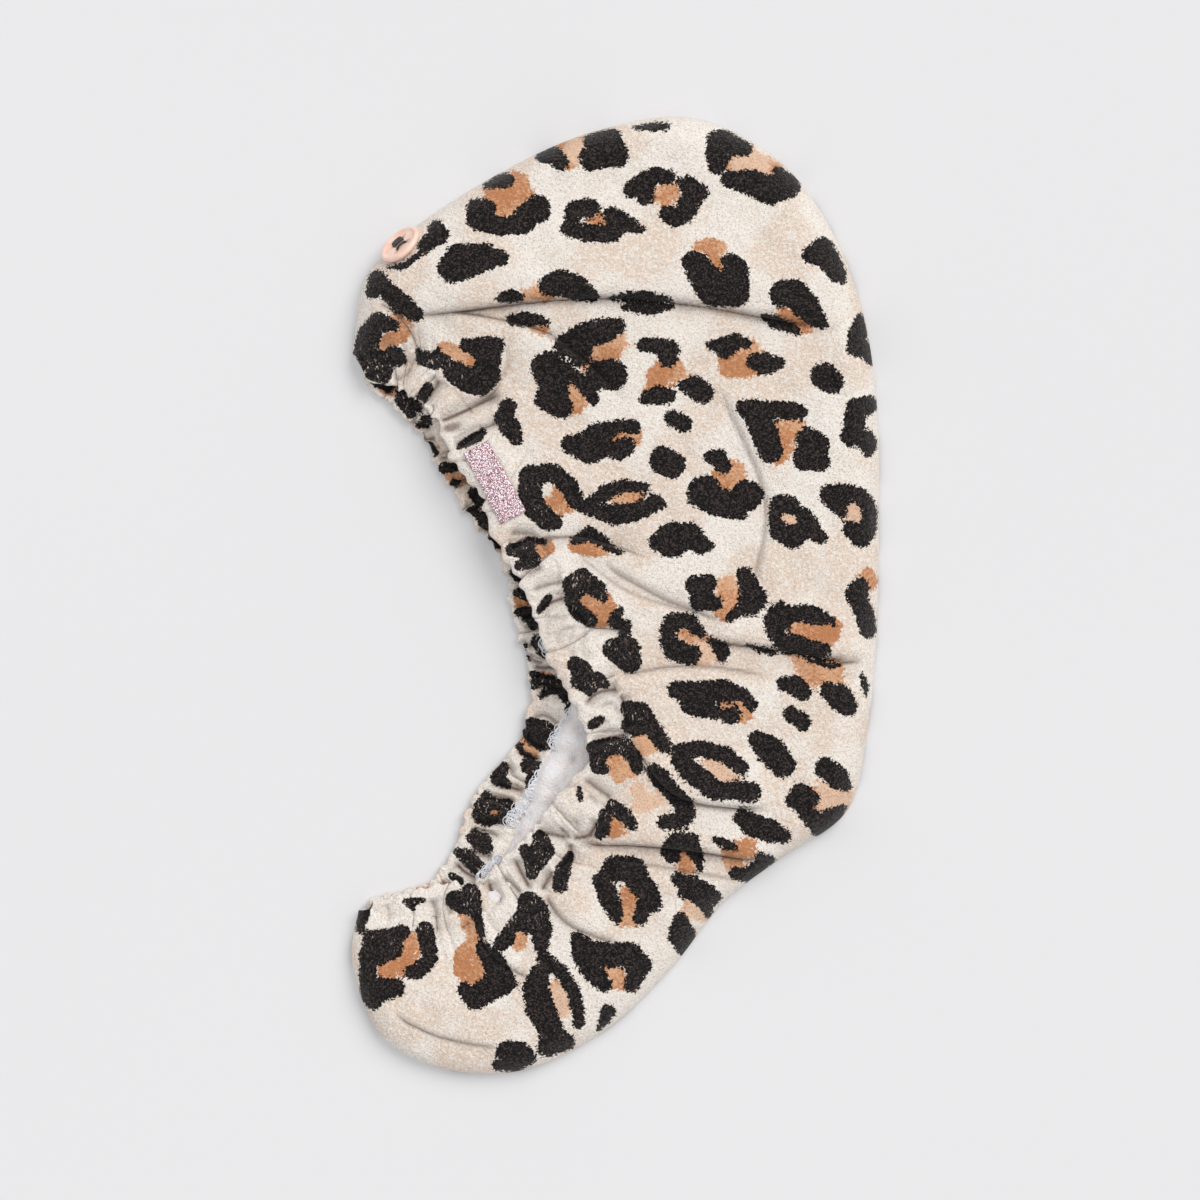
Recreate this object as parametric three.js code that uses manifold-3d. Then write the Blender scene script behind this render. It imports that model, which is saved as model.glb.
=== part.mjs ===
// A hair towel that lies flat on its side: a crescent-shaped bag of printed plush, closed by a seam round
// its long outer curve, and open along the inner curve, where an elastic gathers a hem on each panel.
// The wide end takes the head, the narrow end is the tail that is twisted and brought back to the button.
// Millimetres, +Z up. The lower panel and the lower hem lie on the plane z = 0.
import * as THREE from "three";
import { mergeVertices } from "three/addons/utils/BufferGeometryUtils.js";
import Module from "manifold-3d";

// Driving sizes.
const PIXEL = 0.48; // real size of one pixel of the photograph
const CENTRE = { x: 615.5, y: 596.5 }; // the pixel above the frame's origin
const CLOTH = 2; // plush cloth
const GAP = 0.35; // between pieces that touch
const SEAM = { height: 2.5, turnUp: 8 }; // middle of the lower panel's edge, and how far in it starts to rise
const EDGE_ROUND = 17; // how far in from the seam the upper panel reaches its full height
const CROWN_SHARE = 0.55; // how far across, from its stitch line, the upper panel reaches its crown
const HEM_RISE = 16; // how far from its hem the lower panel comes down to the table
// Pleats of a hem: how many along its length, how much they thicken it, how far its lip waves,
// how high they stand on the panel beside it, how far in they are highest, and how far they run.
const GATHER = { count: 27, swell: 0.34, scallop: 2.1, ripple: 1.6, reach: 7, run: 34 };
const UNEVEN = { spacing: 0.35, spacingRate: 17, size: 0.2, sizeRate: 41 }; // how the pleats differ
const FULL_HEM = 15; // a hem narrower than this has a lower scallop
const STATIONS = GATHER.count * 3; // along each panel and hem
const LABEL = { length: 38, width: 14, thickness: 0.8, sag: 0.8 };
const LABEL_SEAT = { x: 496, y: 484, top: 23.3, turn: -61.7 }; // on the upper hem, along it
const BUTTON = { radius: 11.5, thickness: 3, bevel: 0.6, rim: 2.2, dish: 0.8, hole: 1.3, holeOffset: 2.6 };
const BUTTON_SEAT = { x: 398.5, y: 243.5, height: 12.9, lean: 63, turn: 133 }; // leans on the front's side
const PHASE = { upper: 0.2, lower: 0.7 }; // where along its first pleat each hem starts

// The towel's sections, from the front corner at the button round to the tip of the tail.
// near: stitch line of the upper hem. outer: the outline, where both panels meet. far: lip of the lower hem.
// nearHem, farHem: widths of the hems. depth: thickness of both hems.
// lift: height of the upper stitch line. crown: height of the upper panel half-way across.
const SECTION_COLUMNS = [
  "nearX", "nearY", "outerX", "outerY", "farX", "farY", "nearHem", "farHem", "depth", "lift", "crown",
];
const SECTIONS = named(SECTION_COLUMNS, [
  [366, 374, 354, 352, 362, 380, 4, 4, 4.4, 7.4, 8],
  [397, 365, 366, 280, 374, 391, 10, 8, 5.8, 11, 18],
  [415, 368, 395, 253, 384, 397, 12, 10, 6.2, 13, 21],
  [432, 375, 420, 226, 395, 403, 13, 11, 6.6, 14.6, 22],
  [460, 400, 497, 177, 413, 427, 14, 14, 6.8, 16.8, 23],
  [481, 434, 590, 135, 432, 448, 15, 16, 7, 17.8, 23],
  [500, 468, 690, 120, 448, 477, 16, 18, 7, 18, 23],
  [518, 501, 775, 160, 470, 513, 16, 19, 7, 18, 22],
  [535, 535, 830, 230, 492, 543, 16, 20, 7, 18, 21],
  [555, 566, 863, 318, 507, 573, 17, 21, 7.2, 18.2, 20],
  [578, 606, 877, 420, 516, 605, 19, 21, 7.2, 18.6, 20],
  [589, 637, 878, 530, 523, 640, 20, 21, 7.4, 19.2, 20],
  [607, 667, 876, 640, 533, 690, 20, 21, 7.6, 20, 20],
  [628, 717, 866, 735, 524, 733, 20, 21, 7.6, 20.5, 20.5],
  [629, 777, 846, 810, 497, 768, 20, 21, 7.6, 20.5, 20.5],
  [584, 834, 778, 858, 474, 806, 20, 21, 7.6, 19, 19.5],
  [560, 862, 722, 902, 460, 845, 19, 21, 7.2, 17, 18],
  [526, 893, 672, 966, 446, 868, 18, 18, 6.6, 14.5, 17],
  [491, 907, 608, 1027, 430, 884, 15, 15, 6, 12, 16],
  [456, 911, 530, 1067, 415, 890, 13, 12, 5.4, 10.3, 15],
  [432, 911, 452, 1069, 400, 894, 11, 10, 5, 9.6, 14],
  [409, 913, 385, 1037, 386, 896, 9, 8.5, 4.8, 9.2, 13],
  [388, 912, 354, 965, 375, 896, 7, 7, 4.6, 8.8, 11],
  [371, 906, 359, 910, 365, 898, 4, 4, 4.4, 7.4, 8],
]);

// Creases of the upper panel, each through three points of the photograph. On the left of the way from start
// to end the cloth swells by rise, most of it wide away from the crease; on the right it drops within narrow.
const FOLD_COLUMNS = ["startX", "startY", "midX", "midY", "endX", "endY", "rise", "wide", "drop", "narrow"];
const FOLDS = named(FOLD_COLUMNS, [
  [425, 311, 600, 301, 800, 328, 3.2, 20, 3.4, 7],
  [615, 398, 560, 350, 500, 320, 1.6, 13, 2, 6],
  [419, 372, 408, 338, 380, 306, 1.6, 12, 2, 6],
  [430, 425, 466, 409, 503, 385, 2.2, 14, 2.4, 6],
  [490, 398, 507, 365, 498, 335, 1.2, 15, 1.4, 8],
  [650, 562, 580, 541, 520, 545, 2.8, 12, 2.4, 6],
  [600, 560, 660, 594, 730, 622, 1.4, 16, 2.4, 8],
  [715, 380, 765, 500, 750, 600, 1.4, 20, 1.6, 10],
  [690, 635, 780, 647, 872, 662, 3, 16, 3.2, 7],
  [770, 678, 690, 668, 612, 678, 2.2, 14, 2, 7],
  [632, 633, 590, 627, 556, 603, 2.6, 12, 2.4, 6],
  [628, 735, 680, 792, 770, 805, 3.4, 15, 3.4, 7],
  [568, 838, 660, 841, 772, 857, 3.8, 16, 4.4, 8],
  [748, 882, 670, 868, 600, 858, 1.8, 14, 1.6, 7],
  [395, 1008, 440, 1030, 505, 1043, 1.5, 16, 2.6, 9],
  [478, 890, 490, 945, 540, 978, 2, 12, 2, 6],
  [545, 885, 570, 918, 625, 940, 2, 12, 1.8, 7],
  [436, 940, 434, 915, 425, 893, 1.2, 10, 1.4, 5],
]);

function named(columns, rows) {
  return rows.map((row) => Object.fromEntries(columns.map((column, i) => [column, row[i]])));
}

// A pixel of the photograph, which looks straight down, as a place in the frame.
function place(x, y, z = 0) {
  return new THREE.Vector3((x - CENTRE.x) * PIXEL, (CENTRE.y - y) * PIXEL, z);
}

// A smooth curve through some columns of the section table, read at u from 0 (front) to 1 (tail).
function curveOf(point) {
  return new THREE.CatmullRomCurve3(SECTIONS.map(point), false, "catmullrom", 0.5);
}

const nearStitch = curveOf((s) => place(s.nearX, s.nearY, s.lift));
const outline = curveOf((s) => place(s.outerX, s.outerY));
const farLip = curveOf((s) => place(s.farX, s.farY));
const hemWidths = curveOf((s) => new THREE.Vector3(s.nearHem, s.farHem, s.depth));
const crowns = curveOf((s) => new THREE.Vector3(s.crown, 0, 0));

const smooth = (x) => THREE.MathUtils.smoothstep(x, 0, 1);
const planDistance = (a, b) => Math.hypot(a.x - b.x, a.y - b.y);

// The level direction from a hem's stitch line out to its lip, square to the line.
function towardsMouth(line, u) {
  const d = line.getPoint(Math.min(u + 0.01, 1)).sub(line.getPoint(Math.max(u - 0.01, 0)));
  return new THREE.Vector3(d.y, -d.x, 0).normalize();
}

// The pleats of a hem: a wave that is 1 on a ridge and -1 in a groove, no two pleats quite alike.
function gather(u, shift) {
  const drift = UNEVEN.spacing * Math.sin(u * UNEVEN.spacingRate + shift);
  const size = 1 - UNEVEN.size + UNEVEN.size * Math.sin(u * UNEVEN.sizeRate + 2 * shift);
  return size * Math.cos(2 * Math.PI * (u * GATHER.count + drift + shift));
}

const FOLD_FADE = 0.25; // the share of a crease's length over which each end dies away
const FOLD_CLEAR = 0.12; // how far across, from the stitch line, the creases reach their full height
const foldLines = FOLDS.map((fold) => ({
  ...fold,
  points: new THREE.CatmullRomCurve3([
    place(fold.startX, fold.startY),
    place(fold.midX, fold.midY),
    place(fold.endX, fold.endY),
  ], false, "catmullrom", 0.5).getPoints(20),
}));

// A swell or drop that starts at nothing on the crease, peaks at one reach from it and dies away.
const hump = (x) => x * Math.exp(1 - x);

// The height that one crease adds at a place: nearest is the point of the crease that is closest to it.
function foldHeight(fold, p) {
  let nearest = { away: Infinity };
  for (let i = 0; i + 1 < fold.points.length; i++) {
    const a = fold.points[i];
    const along = fold.points[i + 1].clone().sub(a);
    const [dx, dy] = [p.x - a.x, p.y - a.y];
    const share = THREE.MathUtils.clamp((dx * along.x + dy * along.y) / along.lengthSq(), 0, 1);
    const away = Math.hypot(dx - share * along.x, dy - share * along.y);
    const isLeft = along.x * dy - along.y * dx > 0;
    if (away < nearest.away) nearest = { away, isLeft, end: (i + share) / (fold.points.length - 1) };
  }
  const fade = smooth(nearest.end / FOLD_FADE) * smooth((1 - nearest.end) / FOLD_FADE);
  const swell = fold.rise * hump(nearest.away / fold.wide);
  const dip = fold.drop * hump(nearest.away / fold.narrow);
  return fade * (nearest.isLeft ? swell : -dip);
}

// The middle surface of the upper panel, from its stitch line (t = 0) over the crown and down to the seam.
const upperSeamZ = SEAM.height + CLOTH / 2 + GAP;
function upperSurface(u, t) {
  const stitch = nearStitch.getPoint(u).addScaledVector(towardsMouth(nearStitch, u), -GAP);
  const edge = outline.getPoint(u);
  const width = planDistance(stitch, edge) - CLOTH / 2;
  edge.lerp(stitch, CLOTH / 2 / width);
  const p = stitch.clone().lerp(edge, t);
  const inwards = Math.min((1 - t) * width / Math.min(EDGE_ROUND, width), 1);
  const rounded = Math.sqrt(1 - (1 - inwards) ** 2);
  const creases = foldLines.reduce((sum, fold) => sum + foldHeight(fold, p), 0) * smooth(t / FOLD_CLEAR);
  const away = t * width;
  const pleats = gather(u, PHASE.upper) * hump(away / GATHER.reach) * (1 - smooth(away / GATHER.run));
  const plain = THREE.MathUtils.lerp(stitch.z, crowns.getPoint(u).x, smooth(t / CROWN_SHARE));
  p.z = THREE.MathUtils.lerp(upperSeamZ, plain + creases + GATHER.ripple * pleats, rounded);
  return p;
}

// The middle surface of the lower panel: flat on the table, raised to its hem and turned up to the seam.
function lowerSurface(u, t) {
  const sizes = hemWidths.getPoint(u);
  const stitch = farLip.getPoint(u).addScaledVector(towardsMouth(farLip, u), -sizes.y - GAP);
  const edge = outline.getPoint(u);
  const width = planDistance(stitch, edge);
  const p = stitch.clone().lerp(edge, t);
  const flat = CLOTH / 2;
  const hemRise = (sizes.z / 2 - flat) * (1 - smooth(t * width / HEM_RISE));
  const seamRise = (SEAM.height - flat) * (1 - smooth((1 - t) * width / SEAM.turnUp));
  p.z = flat + Math.max(hemRise, seamRise);
  return p;
}

// A closed sheet of cloth: a middle surface given half the cloth's thickness each way.
function sheet(surface, columns, rows, spacing) {
  const step = 1e-3;
  const positions = [];
  const index = [];
  for (const face of [1, -1])
    for (let i = 0; i <= columns; i++)
      for (let j = 0; j <= rows; j++) {
        const u = i / columns;
        const t = spacing(j / rows);
        const du = surface(Math.min(u + step, 1), t).sub(surface(Math.max(u - step, 0), t));
        const dt = surface(u, Math.min(t + step, 1)).sub(surface(u, Math.max(t - step, 0)));
        const normal = j === 0 ? new THREE.Vector3(0, 0, 1) : du.cross(dt).normalize();
        const p = surface(u, t).addScaledVector(normal, face * CLOTH / 2);
        positions.push(p.x, p.y, p.z);
      }
  const layer = (columns + 1) * (rows + 1);
  const at = (i, j, under) => i * (rows + 1) + j + under * layer;
  const quad = (a, b, c, d) => index.push(a, b, c, a, c, d);
  for (let i = 0; i < columns; i++)
    for (let j = 0; j < rows; j++) {
      quad(at(i, j, 0), at(i + 1, j, 0), at(i + 1, j + 1, 0), at(i, j + 1, 0));
      quad(at(i, j, 1), at(i, j + 1, 1), at(i + 1, j + 1, 1), at(i + 1, j, 1));
    }
  for (let i = 0; i < columns; i++) {
    quad(at(i, 0, 0), at(i, 0, 1), at(i + 1, 0, 1), at(i + 1, 0, 0));
    quad(at(i, rows, 0), at(i + 1, rows, 0), at(i + 1, rows, 1), at(i, rows, 1));
  }
  for (let j = 0; j < rows; j++) {
    quad(at(0, j, 0), at(0, j + 1, 0), at(0, j + 1, 1), at(0, j, 1));
    quad(at(columns, j, 0), at(columns, j, 1), at(columns, j + 1, 1), at(columns, j + 1, 0));
  }
  return geometryOf(positions, index);
}

function geometryOf(positions, index) {
  const geometry = new THREE.BufferGeometry();
  geometry.setAttribute("position", new THREE.Float32BufferAttribute(positions, 3));
  geometry.setIndex(index);
  geometry.computeVertexNormals();
  return geometry;
}

// A gathered hem: a flattened tube along its stitch line whose pleats grow from the line to the lip.
function hem(line, widthAt, heightAt, shift) {
  const columns = STATIONS;
  const sides = 8;
  const positions = [];
  const index = [];
  for (let i = 0; i <= columns; i++) {
    const u = i / columns;
    const out = towardsMouth(line, u);
    const stitch = line.getPoint(u);
    const width = widthAt(u);
    const depth = hemWidths.getPoint(u).z;
    for (let j = 0; j < sides; j++) {
      const angle = (2 * Math.PI * j) / sides;
      const towardsLip = (1 - Math.cos(angle)) / 2;
      const pleat = gather(u, shift) * towardsLip;
      const reach = width * towardsLip + GATHER.scallop * pleat * smooth(width / FULL_HEM);
      const rise = (depth / 2) * Math.sin(angle) * (1 + GATHER.swell * pleat);
      const p = stitch.clone().addScaledVector(out, reach);
      positions.push(p.x, p.y, Math.max(heightAt(u) + rise, 0));
    }
  }
  const at = (i, j) => i * sides + (j % sides);
  for (let i = 0; i < columns; i++)
    for (let j = 0; j < sides; j++)
      index.push(at(i, j), at(i, j + 1), at(i + 1, j + 1), at(i, j), at(i + 1, j + 1), at(i + 1, j));
  for (let j = 1; j + 1 < sides; j++) {
    index.push(at(0, 0), at(0, j + 1), at(0, j));
    index.push(at(columns, 0), at(columns, j), at(columns, j + 1));
  }
  return geometryOf(positions, index);
}

// A woven label: a flat strip whose ends dip a little towards the hem that carries it.
function label() {
  const strip = new THREE.BoxGeometry(LABEL.length, LABEL.width, LABEL.thickness, 8, 1, 1);
  const at = strip.getAttribute("position");
  for (let i = 0; i < at.count; i++)
    at.setZ(i, at.getZ(i) - LABEL.sag * (at.getX(i) / (LABEL.length / 2)) ** 2);
  return strip;
}

// A round four-hole button with a raised rim round a shallow dish. Its face looks along +Z.
async function button() {
  const wasm = await Module();
  wasm.setup();
  const solidOf = (geometry) => {
    geometry.deleteAttribute("normal");
    geometry.deleteAttribute("uv");
    const merged = mergeVertices(geometry, 1e-4);
    const vertProperties = merged.getAttribute("position").array;
    const triVerts = new Uint32Array(merged.index.array);
    return new wasm.Manifold(new wasm.Mesh({ numProp: 3, vertProperties, triVerts }));
  };
  const { radius, thickness, bevel, rim, dish, hole, holeOffset } = BUTTON;
  const profile = [
    [0, -thickness / 2],
    [radius - bevel * 2, -thickness / 2],
    [radius, -bevel / 2],
    [radius, thickness / 2 - bevel],
    [radius - bevel, thickness / 2],
    [radius - rim, thickness / 2],
    [radius - rim - dish, thickness / 2 - dish],
    [0, thickness / 2 - dish],
  ].map(([x, y]) => new THREE.Vector2(x, y));
  let blank = solidOf(new THREE.LatheGeometry(profile, 28));
  for (let k = 0; k < 4; k++) {
    const angle = Math.PI / 4 + (k * Math.PI) / 2;
    const drill = new THREE.CylinderGeometry(hole, hole, thickness * 2, 10);
    drill.translate(holeOffset * Math.SQRT2 * Math.cos(angle), 0, holeOffset * Math.SQRT2 * Math.sin(angle));
    blank = blank.subtract(solidOf(drill));
  }
  const mesh = blank.getMesh();
  const geometry = new THREE.BufferGeometry();
  geometry.setAttribute("position", new THREE.BufferAttribute(mesh.vertProperties, 3));
  geometry.setIndex(new THREE.BufferAttribute(mesh.triVerts, 1));
  geometry.rotateX(Math.PI / 2);
  geometry.computeVertexNormals();
  return geometry;
}

const plush = new THREE.MeshStandardMaterial({ color: 0xe6dacd, roughness: 0.95, metalness: 0 });
const plushUnder = plush.clone();
const hemPlush = new THREE.MeshStandardMaterial({ color: 0xcfc0b2, roughness: 0.95, metalness: 0 });
const wovenPink = new THREE.MeshStandardMaterial({ color: 0xd9b3bf, roughness: 0.6, metalness: 0 });
const buttonPink = new THREE.MeshStandardMaterial({ color: 0xf0c4b4, roughness: 0.45, metalness: 0 });

const towel = new THREE.Group();
function add(name, geometry, material) {
  const mesh = new THREE.Mesh(geometry, material);
  mesh.name = name;
  towel.add(mesh);
  return mesh;
}

const denseAtEdges = (x) => x - 0.12 * Math.sin(2 * Math.PI * x);
add("upper_panel", sheet(upperSurface, STATIONS, 16, denseAtEdges), plush);
add("lower_panel", sheet(lowerSurface, STATIONS, 6, (x) => x), plushUnder);

const nearWidth = (u) => hemWidths.getPoint(u).x;
const nearHeight = (u) => nearStitch.getPoint(u).z;
add("upper_hem", hem(nearStitch, nearWidth, nearHeight, PHASE.upper), hemPlush);

const farStitch = new THREE.CatmullRomCurve3(
  SECTIONS.map((s, i) => {
    const u = i / (SECTIONS.length - 1);
    return farLip.getPoint(u).addScaledVector(towardsMouth(farLip, u), -s.farHem);
  }),
  false, "catmullrom", 0.5,
);
const farWidth = (u) => hemWidths.getPoint(u).y;
const farHeight = (u) => hemWidths.getPoint(u).z / 2;
add("lower_hem", hem(farStitch, farWidth, farHeight, PHASE.lower), hemPlush);

const tag = add("label", label(), wovenPink);
tag.position.copy(place(LABEL_SEAT.x, LABEL_SEAT.y, LABEL_SEAT.top - LABEL.thickness / 2));
tag.rotation.z = THREE.MathUtils.degToRad(LABEL_SEAT.turn);

const disc = add("button", await button(), buttonPink);
disc.position.copy(place(BUTTON_SEAT.x, BUTTON_SEAT.y, BUTTON_SEAT.height));
const lean = THREE.MathUtils.degToRad(BUTTON_SEAT.lean);
const turn = THREE.MathUtils.degToRad(BUTTON_SEAT.turn);
disc.rotation.set(0, lean, turn, "ZYX");

export default towel;
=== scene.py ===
"""A hair towel of leopard-print plush that lies flat on its side, seen from straight above.

Lengths are in millimetres and are turned into metres when a mesh is made. Places on the cloth are given by
u, from the front corner at the button (0) to the tip of the tail (1), and t, from the mouth's stitch line (0)
out to the seam (1).
"""
import math

import bmesh
import bpy
import numpy as np
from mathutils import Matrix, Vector


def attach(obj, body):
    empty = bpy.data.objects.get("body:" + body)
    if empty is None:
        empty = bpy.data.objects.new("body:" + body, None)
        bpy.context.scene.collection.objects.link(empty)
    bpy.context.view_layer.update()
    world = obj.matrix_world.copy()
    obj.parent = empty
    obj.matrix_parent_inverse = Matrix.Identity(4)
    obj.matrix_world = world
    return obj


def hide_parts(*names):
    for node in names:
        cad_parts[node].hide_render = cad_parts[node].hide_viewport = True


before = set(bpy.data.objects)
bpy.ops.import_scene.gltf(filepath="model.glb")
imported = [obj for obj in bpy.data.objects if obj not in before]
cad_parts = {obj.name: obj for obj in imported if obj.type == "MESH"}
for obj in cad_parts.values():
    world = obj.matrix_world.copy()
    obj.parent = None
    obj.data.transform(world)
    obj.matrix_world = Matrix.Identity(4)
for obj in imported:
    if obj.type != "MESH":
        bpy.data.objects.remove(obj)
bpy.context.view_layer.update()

# Driving sizes, the same as the solids'.
MM = 0.001
PIXEL = 0.48  # real size of one pixel of the photograph
CENTRE = (615.5, 596.5)  # the pixel above the frame's origin
VIEW_CENTRE = (600, 600)  # the pixel below the camera
VIEW_HEIGHT = 1500  # of the camera above the floor
VIEW_WIDTH = 1200 * PIXEL  # the view's width on the floor
CLOTH = 2  # the thickness of a panel
GAP = 0.35  # between a panel and its hem
SEAM = {"height": 2.5, "turn_up": 8}  # the turn-up is how far in the lower panel starts to rise
EDGE_ROUND = 17  # how far in from the seam the upper panel's edge is round
CROWN_SHARE = 0.55  # the share of the way to the seam by which the dome has its full height
HEM_RISE = 16  # how far from its hem the lower panel reaches the ground

# The towel's sections, from the front corner at the button round to the tip of the tail, in pixels: the upper
# hem's stitch line, the outline and the lower hem's lip. Then, in millimetres, the widths of the two hems,
# their thickness, the height of the upper stitch line and that of the upper panel half-way across.
SECTIONS = [
    # near x, y, outer x, y, far x, y, near hem, far hem, depth, lift, crown
    (366, 374, 354, 352, 362, 380, 4, 4, 4.4, 7.4, 8),
    (397, 365, 366, 280, 374, 391, 10, 8, 5.8, 11, 18),
    (415, 368, 395, 253, 384, 397, 12, 10, 6.2, 13, 21),
    (432, 375, 420, 226, 395, 403, 13, 11, 6.6, 14.6, 22),
    (460, 400, 497, 177, 413, 427, 14, 14, 6.8, 16.8, 23),
    (481, 434, 590, 135, 432, 448, 15, 16, 7, 17.8, 23),
    (500, 468, 690, 120, 448, 477, 16, 18, 7, 18, 23),
    (518, 501, 775, 160, 470, 513, 16, 19, 7, 18, 22),
    (535, 535, 830, 230, 492, 543, 16, 20, 7, 18, 21),
    (555, 566, 863, 318, 507, 573, 17, 21, 7.2, 18.2, 20),
    (578, 606, 877, 420, 516, 605, 19, 21, 7.2, 18.6, 20),
    (589, 637, 878, 530, 523, 640, 20, 21, 7.4, 19.2, 20),
    (607, 667, 876, 640, 533, 690, 20, 21, 7.6, 20, 20),
    (628, 717, 866, 735, 524, 733, 20, 21, 7.6, 20.5, 20.5),
    (629, 777, 846, 810, 497, 768, 20, 21, 7.6, 20.5, 20.5),
    (584, 834, 778, 858, 474, 806, 20, 21, 7.6, 19, 19.5),
    (560, 862, 722, 902, 460, 845, 19, 21, 7.2, 17, 18),
    (526, 893, 672, 966, 446, 868, 18, 18, 6.6, 14.5, 17),
    (491, 907, 608, 1027, 430, 884, 15, 15, 6, 12, 16),
    (456, 911, 530, 1067, 415, 890, 13, 12, 5.4, 10.3, 15),
    (432, 911, 452, 1069, 400, 894, 11, 10, 5, 9.6, 14),
    (409, 913, 385, 1037, 386, 896, 9, 8.5, 4.8, 9.2, 13),
    (388, 912, 354, 965, 375, 896, 7, 7, 4.6, 8.8, 11),
    (371, 906, 359, 910, 365, 898, 4, 4, 4.4, 7.4, 8),
]

# Pleats of the hems: how many along the length, and where along its first pleat each hem starts.
PLEATS = 27
PHASE = {"upper": 0.2, "lower": 0.7}

# Creases of the upper panel, each through three pixels. On the left of the way from start to end the cloth
# swells by rise, most of it wide away; on the right it drops within narrow.
FOLDS = [
    # start x, y, middle x, y, end x, y, rise, wide, drop, narrow
    (388, 320, 620, 299, 850, 333, 4.4, 22, 4.4, 6), (625, 405, 548, 341, 436, 314, 2.8, 14, 3.0, 6),
    (423, 377, 408, 335, 379, 306, 4.2, 9, 3.2, 5), (430, 425, 466, 409, 503, 385, 2.2, 14, 2.4, 6),
    (490, 398, 507, 365, 498, 335, 1.2, 15, 1.4, 8), (650, 562, 580, 541, 520, 545, 2.8, 12, 2.4, 6),
    (600, 560, 660, 594, 730, 622, 1.4, 16, 2.4, 8), (715, 380, 765, 500, 750, 600, 1.4, 20, 1.6, 10),
    (690, 635, 780, 647, 872, 662, 3, 16, 3.2, 7), (770, 678, 690, 668, 612, 678, 2.2, 14, 2, 7),
    (632, 633, 590, 627, 556, 603, 2.6, 12, 2.4, 6), (700, 618, 626, 594, 570, 552, 1.5, 16, 2.2, 13),
    (628, 735, 680, 792, 770, 805, 3.4, 15, 3.4, 7), (568, 838, 660, 841, 772, 857, 3.8, 16, 4.4, 8),
    (748, 882, 670, 868, 600, 858, 1.8, 14, 1.6, 7), (395, 1008, 440, 1030, 505, 1043, 1.5, 16, 2.6, 9),
    (478, 890, 490, 945, 540, 978, 2, 12, 2, 6), (545, 885, 570, 918, 625, 940, 2, 12, 1.8, 7),
    (436, 940, 434, 915, 425, 893, 1.2, 10, 1.4, 5),
]

# The valleys between the rolls of the gathered casings, each from the lip through a middle pixel to the
# stitch side. The depth is in millimetres before VALLEY_DEEPER multiplies it.
UPPER_VALLEYS = [
    # start x, y, middle x, y, end x, y, depth
    (392, 384, 409, 370, 417, 343, 1.6), (419, 408, 430, 395, 441, 377, 2.6),
    (431, 425, 468, 409, 503, 392, 3.4), (451, 447, 475, 433, 503, 419, 3.2),
    (508, 533, 523, 533, 540, 536, 2.2), (505, 553, 526, 538, 550, 546, 3.2),
    (519, 574, 532, 572, 543, 565, 1.6), (530, 591, 547, 585, 564, 582, 2.0),
    (536, 615, 550, 603, 568, 597, 3.4), (549, 608, 545, 624, 550, 642, 0.9),
    (558, 609, 554, 626, 558, 648, 0.9), (566, 612, 562, 631, 566, 654, 0.8),
    (576, 624, 571, 641, 575, 661, 0.9), (587, 628, 582, 646, 589, 664, 0.8),
    (546, 627, 552, 618, 570, 619, 1.2), (557, 642, 562, 630, 580, 627, 1.2),
    (566, 603, 577, 614, 590, 628, 3.0), (590, 628, 605, 630, 622, 634, 2.0),
    (583, 706, 598, 693, 621, 689, 3.4), (599, 706, 612, 704, 622, 716, 1.4),
    (588, 728, 600, 724, 607, 719, 1.4), (588, 745, 606, 739, 629, 735, 3.4),
    (622, 692, 625, 712, 629, 733, 2.6), (583, 778, 597, 789, 613, 800, 2.2),
    (590, 796, 594, 800, 598, 806, 1.4), (532, 829, 548, 834, 570, 839, 3.4),
    (559, 827, 565, 833, 571, 840, 2.2), (572, 817, 577, 824, 578, 833, 1.6),
    (570, 839, 588, 836, 600, 820, 3.0), (570, 842, 570, 858, 556, 872, 2.6),
    (541, 893, 546, 883, 554, 871, 2.6), (513, 857, 521, 873, 531, 891, 3.2),
    (502, 876, 511, 884, 522, 895, 2.2), (488, 880, 492, 893, 502, 902, 3.0),
    (461, 890, 475, 881, 487, 884, 1.4), (445, 899, 447, 909, 452, 916, 1.4),
    (431, 898, 436, 914, 436, 937, 2.0), (461, 931, 466, 925, 471, 924, 1.4),
    (385, 904, 388, 912, 390, 922, 0.9),
]
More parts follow.
